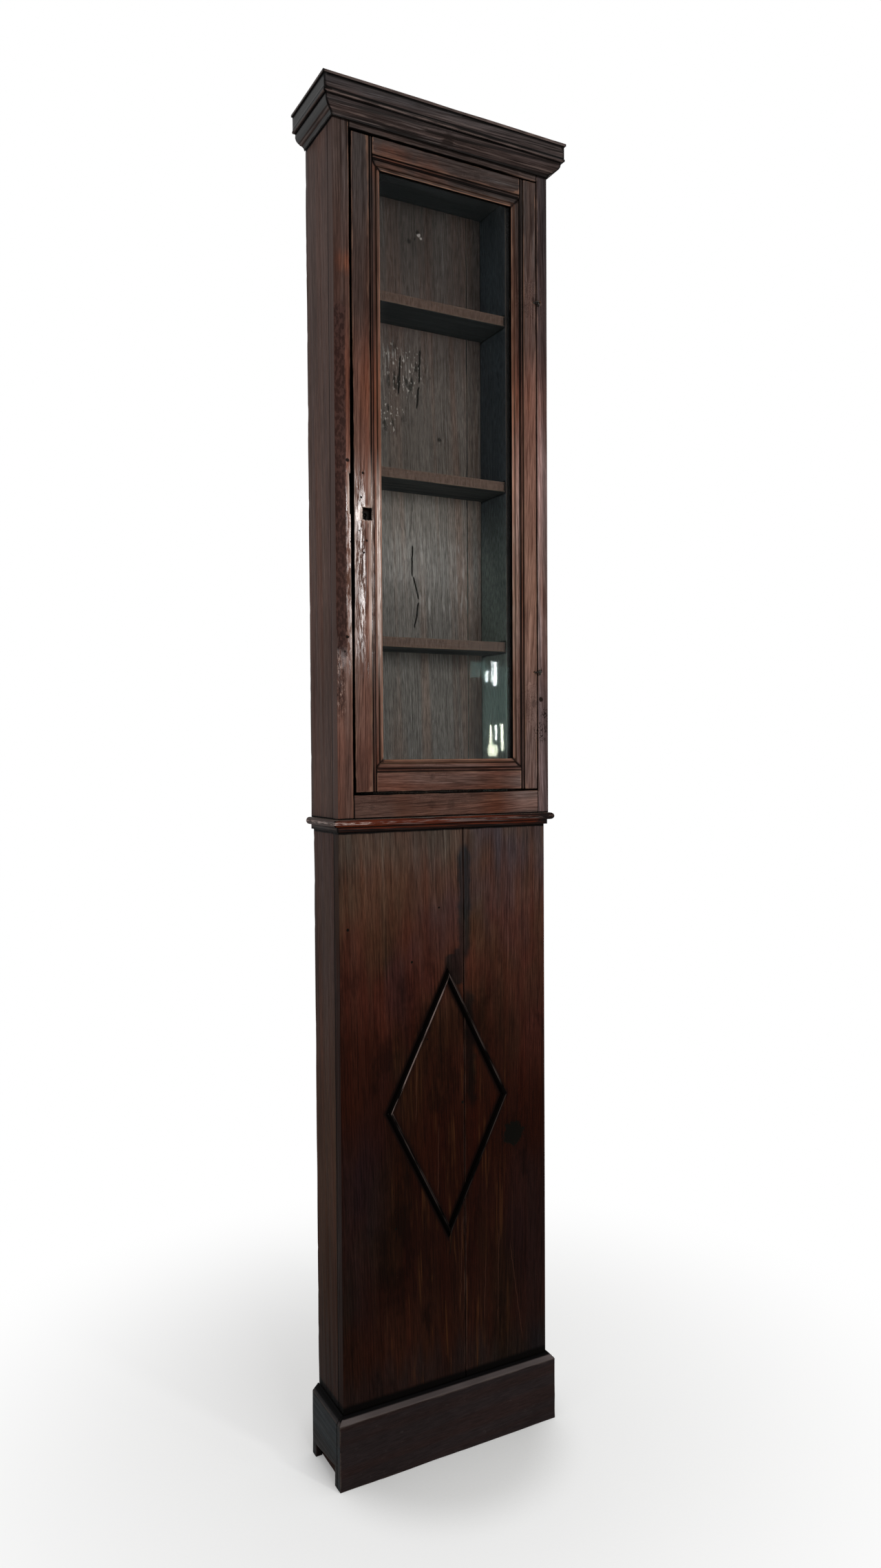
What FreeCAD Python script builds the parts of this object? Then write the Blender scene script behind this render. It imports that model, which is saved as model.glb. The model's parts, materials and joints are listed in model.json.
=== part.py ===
import FreeCAD, Part
import math
import os

# A tall, narrow and very shallow display cabinet of stained pine. A glazed case with three
# shelves stands on a closed case with a diamond of applied bead, above a plinth.
# Millimetres. X runs to the right, Y to the back, Z up. The origin is on the floor, under the
# middle of the whole cabinet. The door is shut and its lock bolt is drawn back.

Vector = FreeCAD.Vector

# Whole cabinet
total_height = 2200.0
upper_width = 394.0
upper_depth = 114.0
lower_side_inset = 4.0          # how far the lower case stands in from the upper one, at each side
lower_front_inset = 8.0         # and at the front
waist_level = 1067.0            # where the upper case stands on the lower one

# Boards of both cases
side_thickness = 20.0
level_board_thickness = 18.0    # bottoms, tops and the ceiling
back_thickness = 8.0
back_rebate_width = 10.0        # how far the back boards lie over each side
back_clearance = 0.3            # the back boards' play in their rebate
board_gap = 0.8                 # shrinkage gap between boards laid edge to edge
arris_radius = 1.5              # rounding of the long front corners

# Lower case
front_thickness = 20.0
front_joint_x = 31.5            # joint of the two front boards, to the right of the middle
lower_back_joint_x = -40.0
lower_floor_level = 99.0
batten_height = 42.0
batten_thickness = 16.0
batten_end_gap = 14.0           # from a batten's end to the side board
first_batten_rise = 153.0       # from the plinth's top up to the first batten
second_batten_drop = 207.0      # from the waist down to the second batten

# Plinth
plinth_height = 117.0
plinth_thickness = 12.0
plinth_chamfer = 10.0
plinth_cut_front_height = 32.0  # the left board's lower edge is cut away between its two ends
plinth_cut_back_height = 21.0
plinth_cut_front_inset = 11.0   # from the board's front end to the cut
plinth_cut_back_inset = 15.0    # from the cut to the board's back end

# Diamond bead on the lower front
diamond_half_width = 114.5
diamond_half_height = 226.0
diamond_level = 588.0
diamond_bead_width = 10.5
diamond_fillet_width = 1.2
diamond_fillet_height = 2.0
diamond_bead_height = 6.0

# Waist moulding
waist_height = 20.0
waist_projection = 13.0
waist_fillet_height = 8.0
waist_fillet_out = 4.0

# Face frame of the upper case
frame_thickness = 20.0
frame_left_width = 27.2
frame_right_width = 20.6
frame_bottom_height = 39.0
frame_top_height = 62.8

# Inside of the upper case
lining_inset = 51.0             # from a side board's inner face to its lining's inner face
lining_thickness = 18.0
door_stop_gap = 0.5             # between the shut door and the boards behind it
shelf_thickness = 17.0
shelf_setback = 3.0             # from the lining's front edge to the shelf's
shelf_housing = 5.0             # how deep the shelves sit in the lining
housing_clearance = 0.1
roof_height = 96.0              # from the ceiling board's underside to the cabinet's top
bay_height_shares = (0.2665, 0.2634, 0.2707, 0.1994)    # of the height left between the shelves
upper_back_joint_x = 99.0

# Cornice, from its lower edge to its lip
cornice_height = 52.0
cornice_projection = 24.0
cornice_toe_out = 1.5
cornice_cove_height = 6.5
cornice_cove_out = 8.5
cornice_step = 1.5              # the two small steps between cove, ovolo and fascia
cornice_ovolo_height = 12.5
cornice_ovolo_out = 17.0
cornice_bead_height = 5.0
cornice_bead_lead = 1.0         # how far the bead stands out past the fascia
cornice_lip_height = 4.5
cornice_lip_lead = 2.5          # how far the lip stands out past the fascia

# Door, flush in the face frame
door_gap_left = 3.5
door_gap_right = 1.8
door_gap_top = 2.2
door_gap_bottom = 2.5
door_stile_left_width = 37.0
door_stile_right_width = 32.1
door_rail_top_height = 34.0
door_rail_bottom_height = 38.5
quirk_width = 1.2
quirk_depth = 1.8
stuck_bead_width = 4.0
stuck_bead_drop = 0.3           # how far the bead's crown lies under the door's face
tenon_thickness = 7.0
tenon_length = 24.0
tenon_shoulder = 8.0
tenon_clearance = 0.1

# Moulding, glass and beads in the door's opening
glass_moulding_width = 14.0
glass_moulding_cove_width = 8.0
glass_moulding_cove_depth = 6.0
glass_moulding_fillet_rise = 0.8
glass_depth = 12.0              # from the door's face to the glass
glass_thickness = 3.0
glass_clearance = 1.0
glazing_bead_width = 10.0

# Lock, let into the back of the left door stile
lock_rise = 438.5               # from the door's lower edge to the key's axis
lock_backset = 23.8             # from the door's left edge to the key's axis
lock_width = 33.0
lock_height = 50.0
lock_depth = 10.0
lock_wall = 1.2
lock_clearance = 0.2
lock_plate_flange = 8.0
key_post_radius = 1.3
key_hole_radius = 3.0
key_slot_width = 2.2
key_slot_height = 9.0
key_opening_width = 14.5        # the worn square hole in front of the lock
key_opening_height = 17.0
bolt_height = 10.0
bolt_thickness = 4.0
bolt_length = 25.0
bolt_rise = 9.0                 # from the key's axis up to the middle of the bolt
bolt_throw = 7.0
bolt_talon_width = 6.0
bolt_talon_height = 3.0
strike_notch_height = 62.0
strike_notch_depth = 2.5
strike_mortise_margin = 1.5

# Hinges, each two linked eyes of iron wire
hinge_low_inset = 199.5         # from the door's lower edge
hinge_high_inset = 202.0        # from the door's upper edge
hinge_wire_radius = 1.2
hinge_eye_radius = 3.8
hinge_eye_offset = 0.9          # from the axis to the middle of the door's eye
hinge_axis_out = 6.2            # from the door's face out to the axis
hinge_shank_length = 14.0
hinge_hole_clearance = 0.05

# Nails and screws
nail_radius = 1.1
nail_length = 24.0
nail_head_radius = 3.0
nail_head_height = 1.0
nail_clearance = 0.05
nail_edge_share = 0.5           # place across the rebate
nail_end_inset = 45.0
nails_per_edge = 6
screw_head_radius = 2.5
screw_radius = 1.2
screw_length = 8.0
screw_slot_width = 0.7
screw_slot_depth = 0.6

# Length by which a cutting body passes through what it cuts
overrun = 5.0

# How near an edge's middle lies to the place by which the edge is picked
pick_tolerance = 0.8

# Levels and faces that follow from the sizes above
total_depth = upper_depth + cornice_projection
back_y = total_depth / 2
inner_back_y = back_y - back_thickness
upper_front_y = back_y - upper_depth
lower_front_y = upper_front_y + lower_front_inset
upper_half = upper_width / 2
lower_half = upper_half - lower_side_inset
upper_inner_half = upper_half - side_thickness
lower_inner_half = lower_half - side_thickness
lining_inner_x = upper_inner_half - lining_inset
frame_back_y = upper_front_y + frame_thickness
front_back_y = lower_front_y + front_thickness
stop_y = frame_back_y + door_stop_gap
interior_floor = waist_level + level_board_thickness
ceiling_level = total_height - roof_height
shelf_count = len(bay_height_shares) - 1
free_height = ceiling_level - interior_floor - shelf_count * shelf_thickness
shelf_levels = [
    interior_floor + free_height * sum(bay_height_shares[: number + 1]) + shelf_thickness * number
    for number in range(shelf_count)
]
door_left = -upper_half + frame_left_width + door_gap_left
door_right = upper_half - frame_right_width - door_gap_right
door_bottom = waist_level + frame_bottom_height + door_gap_bottom
door_top = total_height - frame_top_height - door_gap_top
door_back_y = upper_front_y + frame_thickness
pane_left = door_left + door_stile_left_width
pane_right = door_right - door_stile_right_width
pane_bottom = door_bottom + door_rail_bottom_height
pane_top = door_top - door_rail_top_height
hinge_x = (door_right + upper_half - frame_right_width) / 2
hinge_y = upper_front_y - hinge_axis_out
hinge_levels = (door_bottom + hinge_low_inset, door_top - hinge_high_inset)
key_x = door_left + lock_backset
lock_level = door_bottom + lock_rise
bolt_level = lock_level + bolt_rise
bolt_y = door_back_y - lock_depth / 2


def box(x0, x1, y0, y1, z0, z1):
    return Part.makeBox(x1 - x0, y1 - y0, z1 - z0, Vector(x0, y0, z0))


def mirrored(shape):
    """The same piece on the other side of the cabinet's middle."""
    return shape.mirror(Vector(0, 0, 0), Vector(1, 0, 0))


def section(start, moves, place):
    """Flat face inside straight moves, given by an end, and arcs, given by a middle and an end."""
    edges = []
    here = place(*start)
    for move in moves:
        points = [place(*point) for point in move]
        if len(points) == 1:
            edges.append(Part.LineSegment(here, points[0]).toShape())
        else:
            edges.append(Part.Arc(here, points[0], points[1]).toShape())
        here = points[-1]
    return Part.Face(Part.Wire(edges))


def prism(points, direction):
    """Straight body on a flat outline of corner points."""
    corners = [Vector(*point) for point in points]
    return Part.Face(Part.makePolygon(corners + corners[:1])).extrude(direction)


def edges_where(shape, test):
    return [edge for edge in shape.Edges if test(edge.CenterOfMass)]


def close_to(value, target):
    return abs(value - target) < pick_tolerance


def rounded_front_arris(board, x, y):
    """Rounds the upright corner of a board at x, y."""
    edges = edges_where(board, lambda centre: close_to(centre.x, x) and close_to(centre.y, y))
    return board.makeFillet(arris_radius, edges)


def three_sided_moulding(profile, half_width, front_y, level, projection, height):
    """Front, left and right lengths of a moulding, mitred at the two front corners."""
    start, moves = profile
    reach = half_width + projection
    lead_y = front_y - projection
    up = Vector(0, 0, height)
    outer_left, outer_right = (-reach, lead_y, level), (reach, lead_y, level)
    inner_left, inner_right = (-half_width, front_y, level), (half_width, front_y, level)
    outer_end, inner_end = (reach, back_y, level), (half_width, back_y, level)

    front_face = section(start, moves, lambda out, rise: Vector(-reach, front_y - out, level + rise))
    front_mask = prism([outer_left, outer_right, inner_right, inner_left], up)
    front = front_face.extrude(Vector(2 * reach, 0, 0)).common(front_mask)

    right_face = section(start, moves, lambda out, rise: Vector(half_width + out, lead_y, level + rise))
    right_mask = prism([inner_right, outer_right, outer_end, inner_end], up)
    right = right_face.extrude(Vector(0, back_y - lead_y, 0)).common(right_mask)
    return front, mirrored(right), right


# Nails through the back boards

def nail_places(half_width, bottom, top):
    """Places of the nails along both edges of a back, as x and z."""
    x = half_width - side_thickness + back_rebate_width * nail_edge_share
    first = bottom + nail_end_inset
    pitch = (top - bottom - 2 * nail_end_inset) / (nails_per_edge - 1)
    return [(side * x, first + pitch * number) for side in (-1, 1) for number in range(nails_per_edge)]


def nail(x, z, clearance):
    forward = Vector(0, -1, 0)
    start = Vector(x, back_y, z)
    shank = Part.makeCylinder(nail_radius + clearance, nail_length + clearance, start, forward)
    head = Part.makeCylinder(nail_head_radius + clearance, nail_head_height + clearance, start, forward)
    return shank.fuse(head).removeSplitter()


def nail_group(half_width, bottom, top, clearance):
    return Part.makeCompound([nail(x, z, clearance) for x, z in nail_places(half_width, bottom, top)])


# Boards that both cases share

def side_board(half_width, front_y, bottom, top):
    """Right side board, rebated for the back boards and holed for their nails."""
    board = box(half_width - side_thickness, half_width, front_y, back_y, bottom, top)
    rebate = box(
        half_width - side_thickness - overrun,
        half_width - side_thickness + back_rebate_width,
        inner_back_y,
        back_y + overrun,
        bottom - overrun,
        top + overrun,
    )
    return board.cut(rebate).cut(nail_group(half_width, bottom, top, nail_clearance))


def back_boards(half_width, joint_x, bottom, top):
    """The left and the right back board of a case, a shrinkage gap apart."""
    reach = half_width - side_thickness + back_rebate_width - back_clearance
    holes = nail_group(half_width, bottom, top, nail_clearance)
    left = box(-reach, joint_x - board_gap / 2, inner_back_y, back_y, bottom, top)
    right = box(joint_x + board_gap / 2, reach, inner_back_y, back_y, bottom, top)
    return left.cut(holes), right.cut(holes)


def level_board(inner_half, front_y, bottom):
    return box(-inner_half, inner_half, front_y, inner_back_y, bottom, bottom + level_board_thickness)


# Lower case

def lower_sides():
    right = side_board(lower_half, front_back_y, 0, waist_level)
    return mirrored(right), right


def lower_front_boards():
    left = box(-lower_half, front_joint_x - board_gap / 2, lower_front_y, front_back_y, 0, waist_level)
    right = box(front_joint_x + board_gap / 2, lower_half, lower_front_y, front_back_y, 0, waist_level)
    return (
        rounded_front_arris(left, -lower_half, lower_front_y),
        rounded_front_arris(right, lower_half, lower_front_y),
    )


def batten(level):
    """Cross batten that holds the two front boards together from inside."""
    half = lower_inner_half - batten_end_gap
    return box(-half, half, front_back_y, front_back_y + batten_thickness, level, level + batten_height)


def plinth_front():
    half = lower_half + plinth_thickness
    front_y = lower_front_y - plinth_thickness
    board = box(-half, half, front_y, lower_front_y, 0, plinth_height)
    outer_edges = edges_where(
        board,
        lambda centre: close_to(centre.z, plinth_height)
        and (close_to(centre.y, front_y) or close_to(abs(centre.x), half)),
    )
    return board.makeChamfer(plinth_chamfer, outer_edges)


def plinth_side():
    """Right plinth board, butted behind the front one."""
    half = lower_half + plinth_thickness
    board = box(lower_half, half, lower_front_y, back_y, 0, plinth_height)
    outer_edge = edges_where(
        board,
        lambda centre: close_to(centre.z, plinth_height) and close_to(centre.x, half),
    )
    return board.makeChamfer(plinth_chamfer, outer_edge)


def plinth_left():
    """Left plinth board, whose lower edge is cut away on a slope between two short feet."""
    cut_x = -lower_half - plinth_thickness - overrun
    cut_front = lower_front_y + plinth_cut_front_inset
    cut_back = back_y - plinth_cut_back_inset
    cut_outline = [
        (cut_x, cut_front, -overrun),
        (cut_x, cut_front, plinth_cut_front_height),
        (cut_x, cut_back, plinth_cut_back_height),
        (cut_x, cut_back, -overrun),
    ]
    through = Vector(plinth_thickness + 2 * overrun, 0, 0)
    return mirrored(plinth_side()).cut(prism(cut_outline, through))


def diamond_bead(side, rise):
    """One side of the diamond; side is 1 or -1 to the right or left, rise to the top or bottom."""
    length = math.hypot(diamond_half_width, diamond_half_height)
    along = Vector(-diamond_half_width / length, 0, diamond_half_height / length)
    inward = Vector(-diamond_half_height / length, 0, -diamond_half_width / length)
    out = Vector(0, -1, 0)
    start = Vector(diamond_half_width, lower_front_y, diamond_level) - along * length

    round_width = diamond_bead_width - 2 * diamond_fillet_width
    crown = (diamond_bead_width / 2, diamond_bead_height)
    face = section(
        (0, 0),
        [
            ((0, diamond_fillet_height),),
            ((diamond_fillet_width, diamond_fillet_height),),
            (crown, (diamond_fillet_width + round_width, diamond_fillet_height)),
            ((diamond_bead_width, diamond_fillet_height),),
            ((diamond_bead_width, 0),),
            ((0, 0),),
        ],
        lambda across, height: start + inward * across + out * height,
    )
    strip = face.extrude(along * (3 * length))
    quadrant = box(
        0,
        diamond_half_width + overrun,
        lower_front_y - diamond_bead_height - overrun,
        lower_front_y,
        diamond_level,
        diamond_level + diamond_half_height + overrun,
    )
    bead = strip.common(quadrant)
    if rise < 0:
        bead = bead.mirror(Vector(0, 0, diamond_level), Vector(0, 0, 1))
    if side < 0:
        bead = mirrored(bead)
    return bead


def waist_moulding():
    nose_radius = (waist_height - waist_fillet_height) / 2
    nose_start = waist_projection - nose_radius
    profile = (
        (0, 0),
        [
            ((waist_fillet_out, 0),),
            ((waist_fillet_out, waist_fillet_height),),
            ((nose_start, waist_fillet_height),),
            ((waist_projection, waist_fillet_height + nose_radius), (nose_start, waist_height)),
            ((0, waist_height),),
            ((0, 0),),
        ],
    )
    level = waist_level - waist_height
    return three_sided_moulding(profile, lower_half, lower_front_y, level, waist_projection, waist_height)


# Upper case

def upper_sides():
    right = side_board(upper_half, frame_back_y, waist_level, total_height)
    return mirrored(right), right


def shelf_housings(clearance):
    """Bodies of the three shelves, larger all round by a clearance."""
    half = lining_inner_x + shelf_housing - housing_clearance + clearance
    front_y = stop_y + shelf_setback - clearance
    return [
        box(-half, half, front_y, inner_back_y, level - clearance, level + shelf_thickness + clearance)
        for level in shelf_levels
    ]


def lining():
    """Right lining board, housed for the shelves."""
    board = box(
        lining_inner_x,
        lining_inner_x + lining_thickness,
        stop_y,
        inner_back_y,
        interior_floor,
        ceiling_level,
    )
    return board.cut(Part.makeCompound(shelf_housings(housing_clearance)))


def frame_stile_left():
    """Left face-frame stile, with the chiselled notch and mortise that take the lock bolt."""
    inner_x = -upper_half + frame_left_width
    board = box(-upper_half, inner_x, upper_front_y, frame_back_y, waist_level, total_height)
    board = rounded_front_arris(board, -upper_half, upper_front_y)
    notch_bottom = bolt_level - bolt_height - strike_mortise_margin
    notch = box(
        inner_x - strike_notch_depth,
        inner_x + overrun,
        upper_front_y - overrun,
        frame_back_y + overrun,
        notch_bottom,
        notch_bottom + strike_notch_height,
    )
    reach_y = bolt_thickness / 2 + strike_mortise_margin
    reach_z = bolt_height / 2 + strike_mortise_margin
    mortise = box(
        door_left - bolt_throw - strike_mortise_margin,
        inner_x + overrun,
        bolt_y - reach_y,
        bolt_y + reach_y,
        bolt_level - reach_z,
        bolt_level + reach_z,
    )
    return board.cut(notch).cut(mortise)


def frame_stile_right():
    """Right face-frame stile, holed for the shanks of the hinge eyes."""
    board = box(
        upper_half - frame_right_width,
        upper_half,
        upper_front_y,
        frame_back_y,
        waist_level,
        total_height,
    )
    board = rounded_front_arris(board, upper_half, upper_front_y)
    return board.cut(hinge_frame_eyes(hinge_hole_clearance))


def frame_rail(bottom, top):
    return box(
        -upper_half + frame_left_width,
        upper_half - frame_right_width,
        upper_front_y,
        frame_back_y,
        bottom,
        top,
    )


def cornice():
    cove_top = cornice_cove_height
    ovolo_bottom = cove_top + cornice_step
    ovolo_top = ovolo_bottom + cornice_ovolo_height
    bead_bottom = ovolo_top + cornice_step
    bead_top = bead_bottom + cornice_bead_height
    lip_bottom = cornice_height - cornice_lip_height
    fascia_out = cornice_projection - cornice_lip_lead
    ovolo_inner = cornice_cove_out + cornice_step
    cove_middle = (
        cornice_toe_out + (cornice_cove_out - cornice_toe_out) * (1 - math.sqrt(0.5)),
        cove_top * math.sqrt(0.5),
    )
    ovolo_middle = (
        ovolo_inner + (cornice_ovolo_out - ovolo_inner) * math.sqrt(0.5),
        ovolo_bottom + cornice_ovolo_height * (1 - math.sqrt(0.5)),
    )
    profile = (
        (0, 0),
        [
            ((cornice_toe_out, 0),),
            (cove_middle, (cornice_cove_out, cove_top)),
            ((ovolo_inner, ovolo_bottom),),
            (ovolo_middle, (cornice_ovolo_out, ovolo_top)),
            ((cornice_ovolo_out, bead_bottom),),
            ((fascia_out, bead_bottom),),
            ((fascia_out + cornice_bead_lead, (bead_bottom + bead_top) / 2), (fascia_out, bead_top)),
            ((fascia_out, lip_bottom),),
            ((cornice_projection, lip_bottom),),
            ((cornice_projection, cornice_height),),
            ((0, cornice_height),),
            ((0, 0),),
        ],
    )
    level = total_height - cornice_height
    return three_sided_moulding(
        profile, upper_half, upper_front_y, level, cornice_projection, cornice_height
    )


# Door

def stuck_bead_moves(width, thickness):
    """Outline of a stile or rail from its plain outer edge to the bead along its inner edge."""
    flat_end = width - 2 * quirk_width - stuck_bead_width
    bead_end = width - quirk_width
    crown = (flat_end + quirk_width + stuck_bead_width / 2, stuck_bead_drop)
    return (0, 0), [
        ((flat_end, 0),),
        ((flat_end, quirk_depth),),
        ((flat_end + quirk_width, quirk_depth),),
        (crown, (bead_end, quirk_depth)),
        ((width, quirk_depth),),
        ((width, thickness),),
        ((0, thickness),),
        ((0, 0),),
    ]


def door_stile(outer_x, side, width):
    """Door stile with its bead; side is 1 for the left stile, whose inner edge is to the right."""
    start, moves = stuck_bead_moves(width, frame_thickness)
    face = section(
        start,
        moves,
        lambda across, depth: Vector(outer_x + side * across, upper_front_y + depth, door_bottom),
    )
    stile = face.extrude(Vector(0, 0, door_top - door_bottom))
    for bottom, top in ((door_bottom, pane_bottom), (pane_top, door_top)):
        stile = stile.cut(tenon(bottom, top, tenon_clearance))
    return stile


def tenon(bottom, top, clearance):
    """Both tenons of a door rail as one bar from mortise to mortise."""
    middle_y = (upper_front_y + door_back_y) / 2
    return box(
        pane_left - tenon_length - clearance,
        pane_right + tenon_length + clearance,
        middle_y - tenon_thickness / 2 - clearance,
        middle_y + tenon_thickness / 2 + clearance,
        bottom + tenon_shoulder - clearance,
        top - tenon_shoulder + clearance,
    )


def door_rail(outer_z, rise, height):
    """Door rail with its bead; rise is 1 for the bottom rail, whose inner edge is the upper one."""
    start, moves = stuck_bead_moves(height, frame_thickness)
    face = section(
        start,
        moves,
        lambda across, depth: Vector(pane_left, upper_front_y + depth, outer_z + rise * across),
    )
    inner_z = outer_z + rise * height
    rail = face.extrude(Vector(pane_right - pane_left, 0, 0))
    return rail.fuse(tenon(min(outer_z, inner_z), max(outer_z, inner_z), 0)).removeSplitter()


def door_stile_left():
    """Left stile, cut for the lock and with the worn square opening in front of it."""
    stile = door_stile(door_left, 1, door_stile_left_width)
    reach = lock_height / 2 + lock_clearance
    pocket = box(
        door_left - overrun,
        door_left + lock_width + lock_clearance,
        door_back_y - lock_depth - lock_clearance,
        door_back_y + overrun,
        lock_level - reach,
        lock_level + reach,
    )
    plate_seat = box(
        door_left - overrun,
        door_left + lock_width + lock_clearance,
        door_back_y - lock_wall,
        door_back_y + overrun,
        lock_level - reach - lock_plate_flange,
        lock_level + reach + lock_plate_flange,
    )
    opening = box(
        key_x - key_opening_width / 2,
        key_x + key_opening_width / 2,
        upper_front_y - overrun,
        door_back_y,
        lock_level - key_opening_height / 2,
        lock_level + key_opening_height / 2,
    )
    for cutter in (pocket, plate_seat, opening, lock_screws(nail_clearance)):
        stile = stile.cut(cutter)
    return stile


def door_stile_right():
    """Right stile, holed for the shanks of the hinge eyes."""
    stile = door_stile(door_right, -1, door_stile_right_width)
    return stile.cut(hinge_door_eyes(hinge_hole_clearance))


def pane_frame(profile, left, right, bottom, top, width):
    """Four mitred lengths around the door's opening: left, right, bottom and top."""
    start, moves = profile
    front_y = upper_front_y - overrun
    through = Vector(0, frame_thickness + 2 * overrun, 0)
    height = Vector(0, 0, top - bottom)
    length = Vector(right - left, 0, 0)
    corners = {"lb": (left, bottom), "lt": (left, top), "rb": (right, bottom), "rt": (right, top)}
    sights = {
        "lb": (left + width, bottom + width),
        "lt": (left + width, top - width),
        "rb": (right - width, bottom + width),
        "rt": (right - width, top - width),
    }

    def mask(first, second):
        flat = (corners[first], corners[second], sights[second], sights[first])
        return prism([(x, front_y, z) for x, z in flat], through)

    def strip(place, direction):
        return section(start, moves, place).extrude(direction)

    return (
        strip(lambda a, d: Vector(left + a, upper_front_y + d, bottom), height).common(mask("lb", "lt")),
        strip(lambda a, d: Vector(right - a, upper_front_y + d, bottom), height).common(mask("rb", "rt")),
        strip(lambda a, d: Vector(left, upper_front_y + d, bottom + a), length).common(mask("lb", "rb")),
        strip(lambda a, d: Vector(left, upper_front_y + d, top - a), length).common(mask("lt", "rt")),
    )


def glass_mouldings():
    cove_middle = (
        glass_moulding_cove_width * (1 - math.sqrt(0.5)),
        quirk_depth + (glass_moulding_cove_depth - quirk_depth) * math.sqrt(0.5),
    )
    fillet_depth = glass_moulding_cove_depth - glass_moulding_fillet_rise
    profile = (
        (0, quirk_depth),
        [
            (cove_middle, (glass_moulding_cove_width, glass_moulding_cove_depth)),
            ((glass_moulding_cove_width, fillet_depth),),
            ((glass_moulding_width, fillet_depth),),
            ((glass_moulding_width, glass_depth),),
            ((0, glass_depth),),
            ((0, quirk_depth),),
        ],
    )
    return pane_frame(profile, pane_left, pane_right, pane_bottom, pane_top, glass_moulding_width)


def glazing_beads():
    front = glass_depth + glass_thickness
    profile = (
        (0, front),
        [
            ((0, frame_thickness),),
            ((glazing_bead_width, front + (frame_thickness - front) / 2),),
            ((glazing_bead_width, front),),
            ((0, front),),
        ],
    )
    return pane_frame(profile, pane_left, pane_right, pane_bottom, pane_top, glazing_bead_width)


def door_glass():
    front_y = upper_front_y + glass_depth
    return box(
        pane_left + glass_clearance,
        pane_right - glass_clearance,
        front_y,
        front_y + glass_thickness,
        pane_bottom + glass_clearance,
        pane_top - glass_clearance,
    )


# Lock

def lock_case():
    """Open box of the lock with its key hole, key post and the slot for the bolt."""
    front_y = door_back_y - lock_depth
    rear_y = door_back_y - lock_wall
    half = lock_height / 2
    case = box(door_left, door_left + lock_width, front_y, rear_y, lock_level - half, lock_level + half)
    hollow = box(
        door_left + lock_wall,
        door_left + lock_width - lock_wall,
        front_y + lock_wall,
        rear_y + overrun,
        lock_level - half + lock_wall,
        lock_level + half - lock_wall,
    )
    hole_start = Vector(key_x, front_y - lock_wall / 2, lock_level)
    hole = Part.makeCylinder(key_hole_radius, 2 * lock_wall, hole_start, Vector(0, 1, 0))
    key_slot = box(
        key_x - key_slot_width / 2,
        key_x + key_slot_width / 2,
        front_y - lock_wall,
        front_y + lock_wall,
        lock_level - key_slot_height,
        lock_level,
    )
    bolt_slot = lock_bolt(lock_clearance, door_left - overrun)
    post_start = Vector(key_x, rear_y, lock_level)
    post_length = rear_y - front_y - key_post_radius
    post = Part.makeCylinder(key_post_radius, post_length, post_start, Vector(0, -1, 0))
    foot_y = rear_y - lock_wall
    bridge = box(
        key_x,
        door_left + lock_width - lock_wall / 2,
        foot_y,
        rear_y,
        lock_level - key_post_radius,
        lock_level + key_post_radius,
    )
    case = case.cut(hollow).cut(hole).cut(key_slot).cut(bolt_slot)
    return case.fuse(post).fuse(bridge).removeSplitter()


def lock_bolt(clearance=0.0, tip_x=None):
    """Bolt of the lock, drawn back: its tip is flush with the door's edge."""
    start_x = door_left if tip_x is None else tip_x
    bolt = box(
        start_x,
        door_left + bolt_length,
        bolt_y - bolt_thickness / 2 - clearance,
        bolt_y + bolt_thickness / 2 + clearance,
        bolt_level - bolt_height / 2 - clearance,
        bolt_level + bolt_height / 2 + clearance,
    )
    if clearance:
        return bolt
    talon = box(
        key_x - bolt_talon_width,
        key_x,
        bolt_y - bolt_thickness,
        bolt_y + bolt_thickness,
        bolt_level - bolt_height,
        bolt_level - bolt_height / 2 + bolt_talon_height,
    )
    return bolt.cut(talon)


def lock_plate():
    """Cover plate over the lock, with a flange for the screws above and below."""
    reach = lock_height / 2 + lock_plate_flange
    plate = box(
        door_left,
        door_left + lock_width,
        door_back_y - lock_wall,
        door_back_y,
        lock_level - reach,
        lock_level + reach,
    )
    return plate.cut(lock_screws(nail_clearance))


def lock_screws(clearance=0.0):
    inset = lock_plate_flange
    level = lock_height / 2 + lock_plate_flange / 2
    screws = [
        lock_screw(x, lock_level + side * level, clearance)
        for x in (door_left + inset, door_left + lock_width - inset)
        for side in (-1, 1)
    ]
    return Part.makeCompound(screws)


def lock_screw(x, z, clearance):
    forward = Vector(0, -1, 0)
    start = Vector(x, door_back_y, z)
    head = Part.makeCylinder(screw_head_radius + clearance, lock_wall + clearance, start, forward)
    shank = Part.makeCylinder(screw_radius + clearance, screw_length + clearance, start, forward)
    screw = head.fuse(shank).removeSplitter()
    if clearance:
        return screw
    slot = box(
        x - screw_head_radius - overrun,
        x + screw_head_radius + overrun,
        door_back_y - screw_slot_depth,
        door_back_y + overrun,
        z - screw_slot_width / 2,
        z + screw_slot_width / 2,
    )
    return screw.cut(slot)


# Hinges

def wire_eye(centre, normal, shank_way, clearance):
    """Ring of wire with a straight shank that leaves it along shank_way."""
    radius = hinge_wire_radius + clearance
    ring = Part.makeTorus(hinge_eye_radius, radius, centre, normal)
    start = centre + shank_way * hinge_eye_radius
    shank = Part.makeCylinder(radius, hinge_shank_length + clearance, start, shank_way)
    return ring.fuse(shank).removeSplitter()


def hinge_door_eyes(clearance=0.0):
    """The door's two eyes, which lie level and swing about the axis."""
    way = Vector(-1, 1, 0).normalize()
    eyes = []
    for level in hinge_levels:
        centre = Vector(hinge_x, hinge_y, level) + way * hinge_eye_offset
        eyes.append(wire_eye(centre, Vector(0, 0, 1), way, clearance))
    return Part.makeCompound(eyes)


def hinge_frame_eyes(clearance=0.0):
    """The frame's two eyes, which stand upright and pass through the door's eyes."""
    way = Vector(1, 1, 0).normalize()
    eyes = []
    for level in hinge_levels:
        centre = Vector(hinge_x, hinge_y, level) + way * hinge_eye_radius
        eyes.append(wire_eye(centre, Vector(1, -1, 0), way, clearance))
    return Part.makeCompound(eyes)


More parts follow.
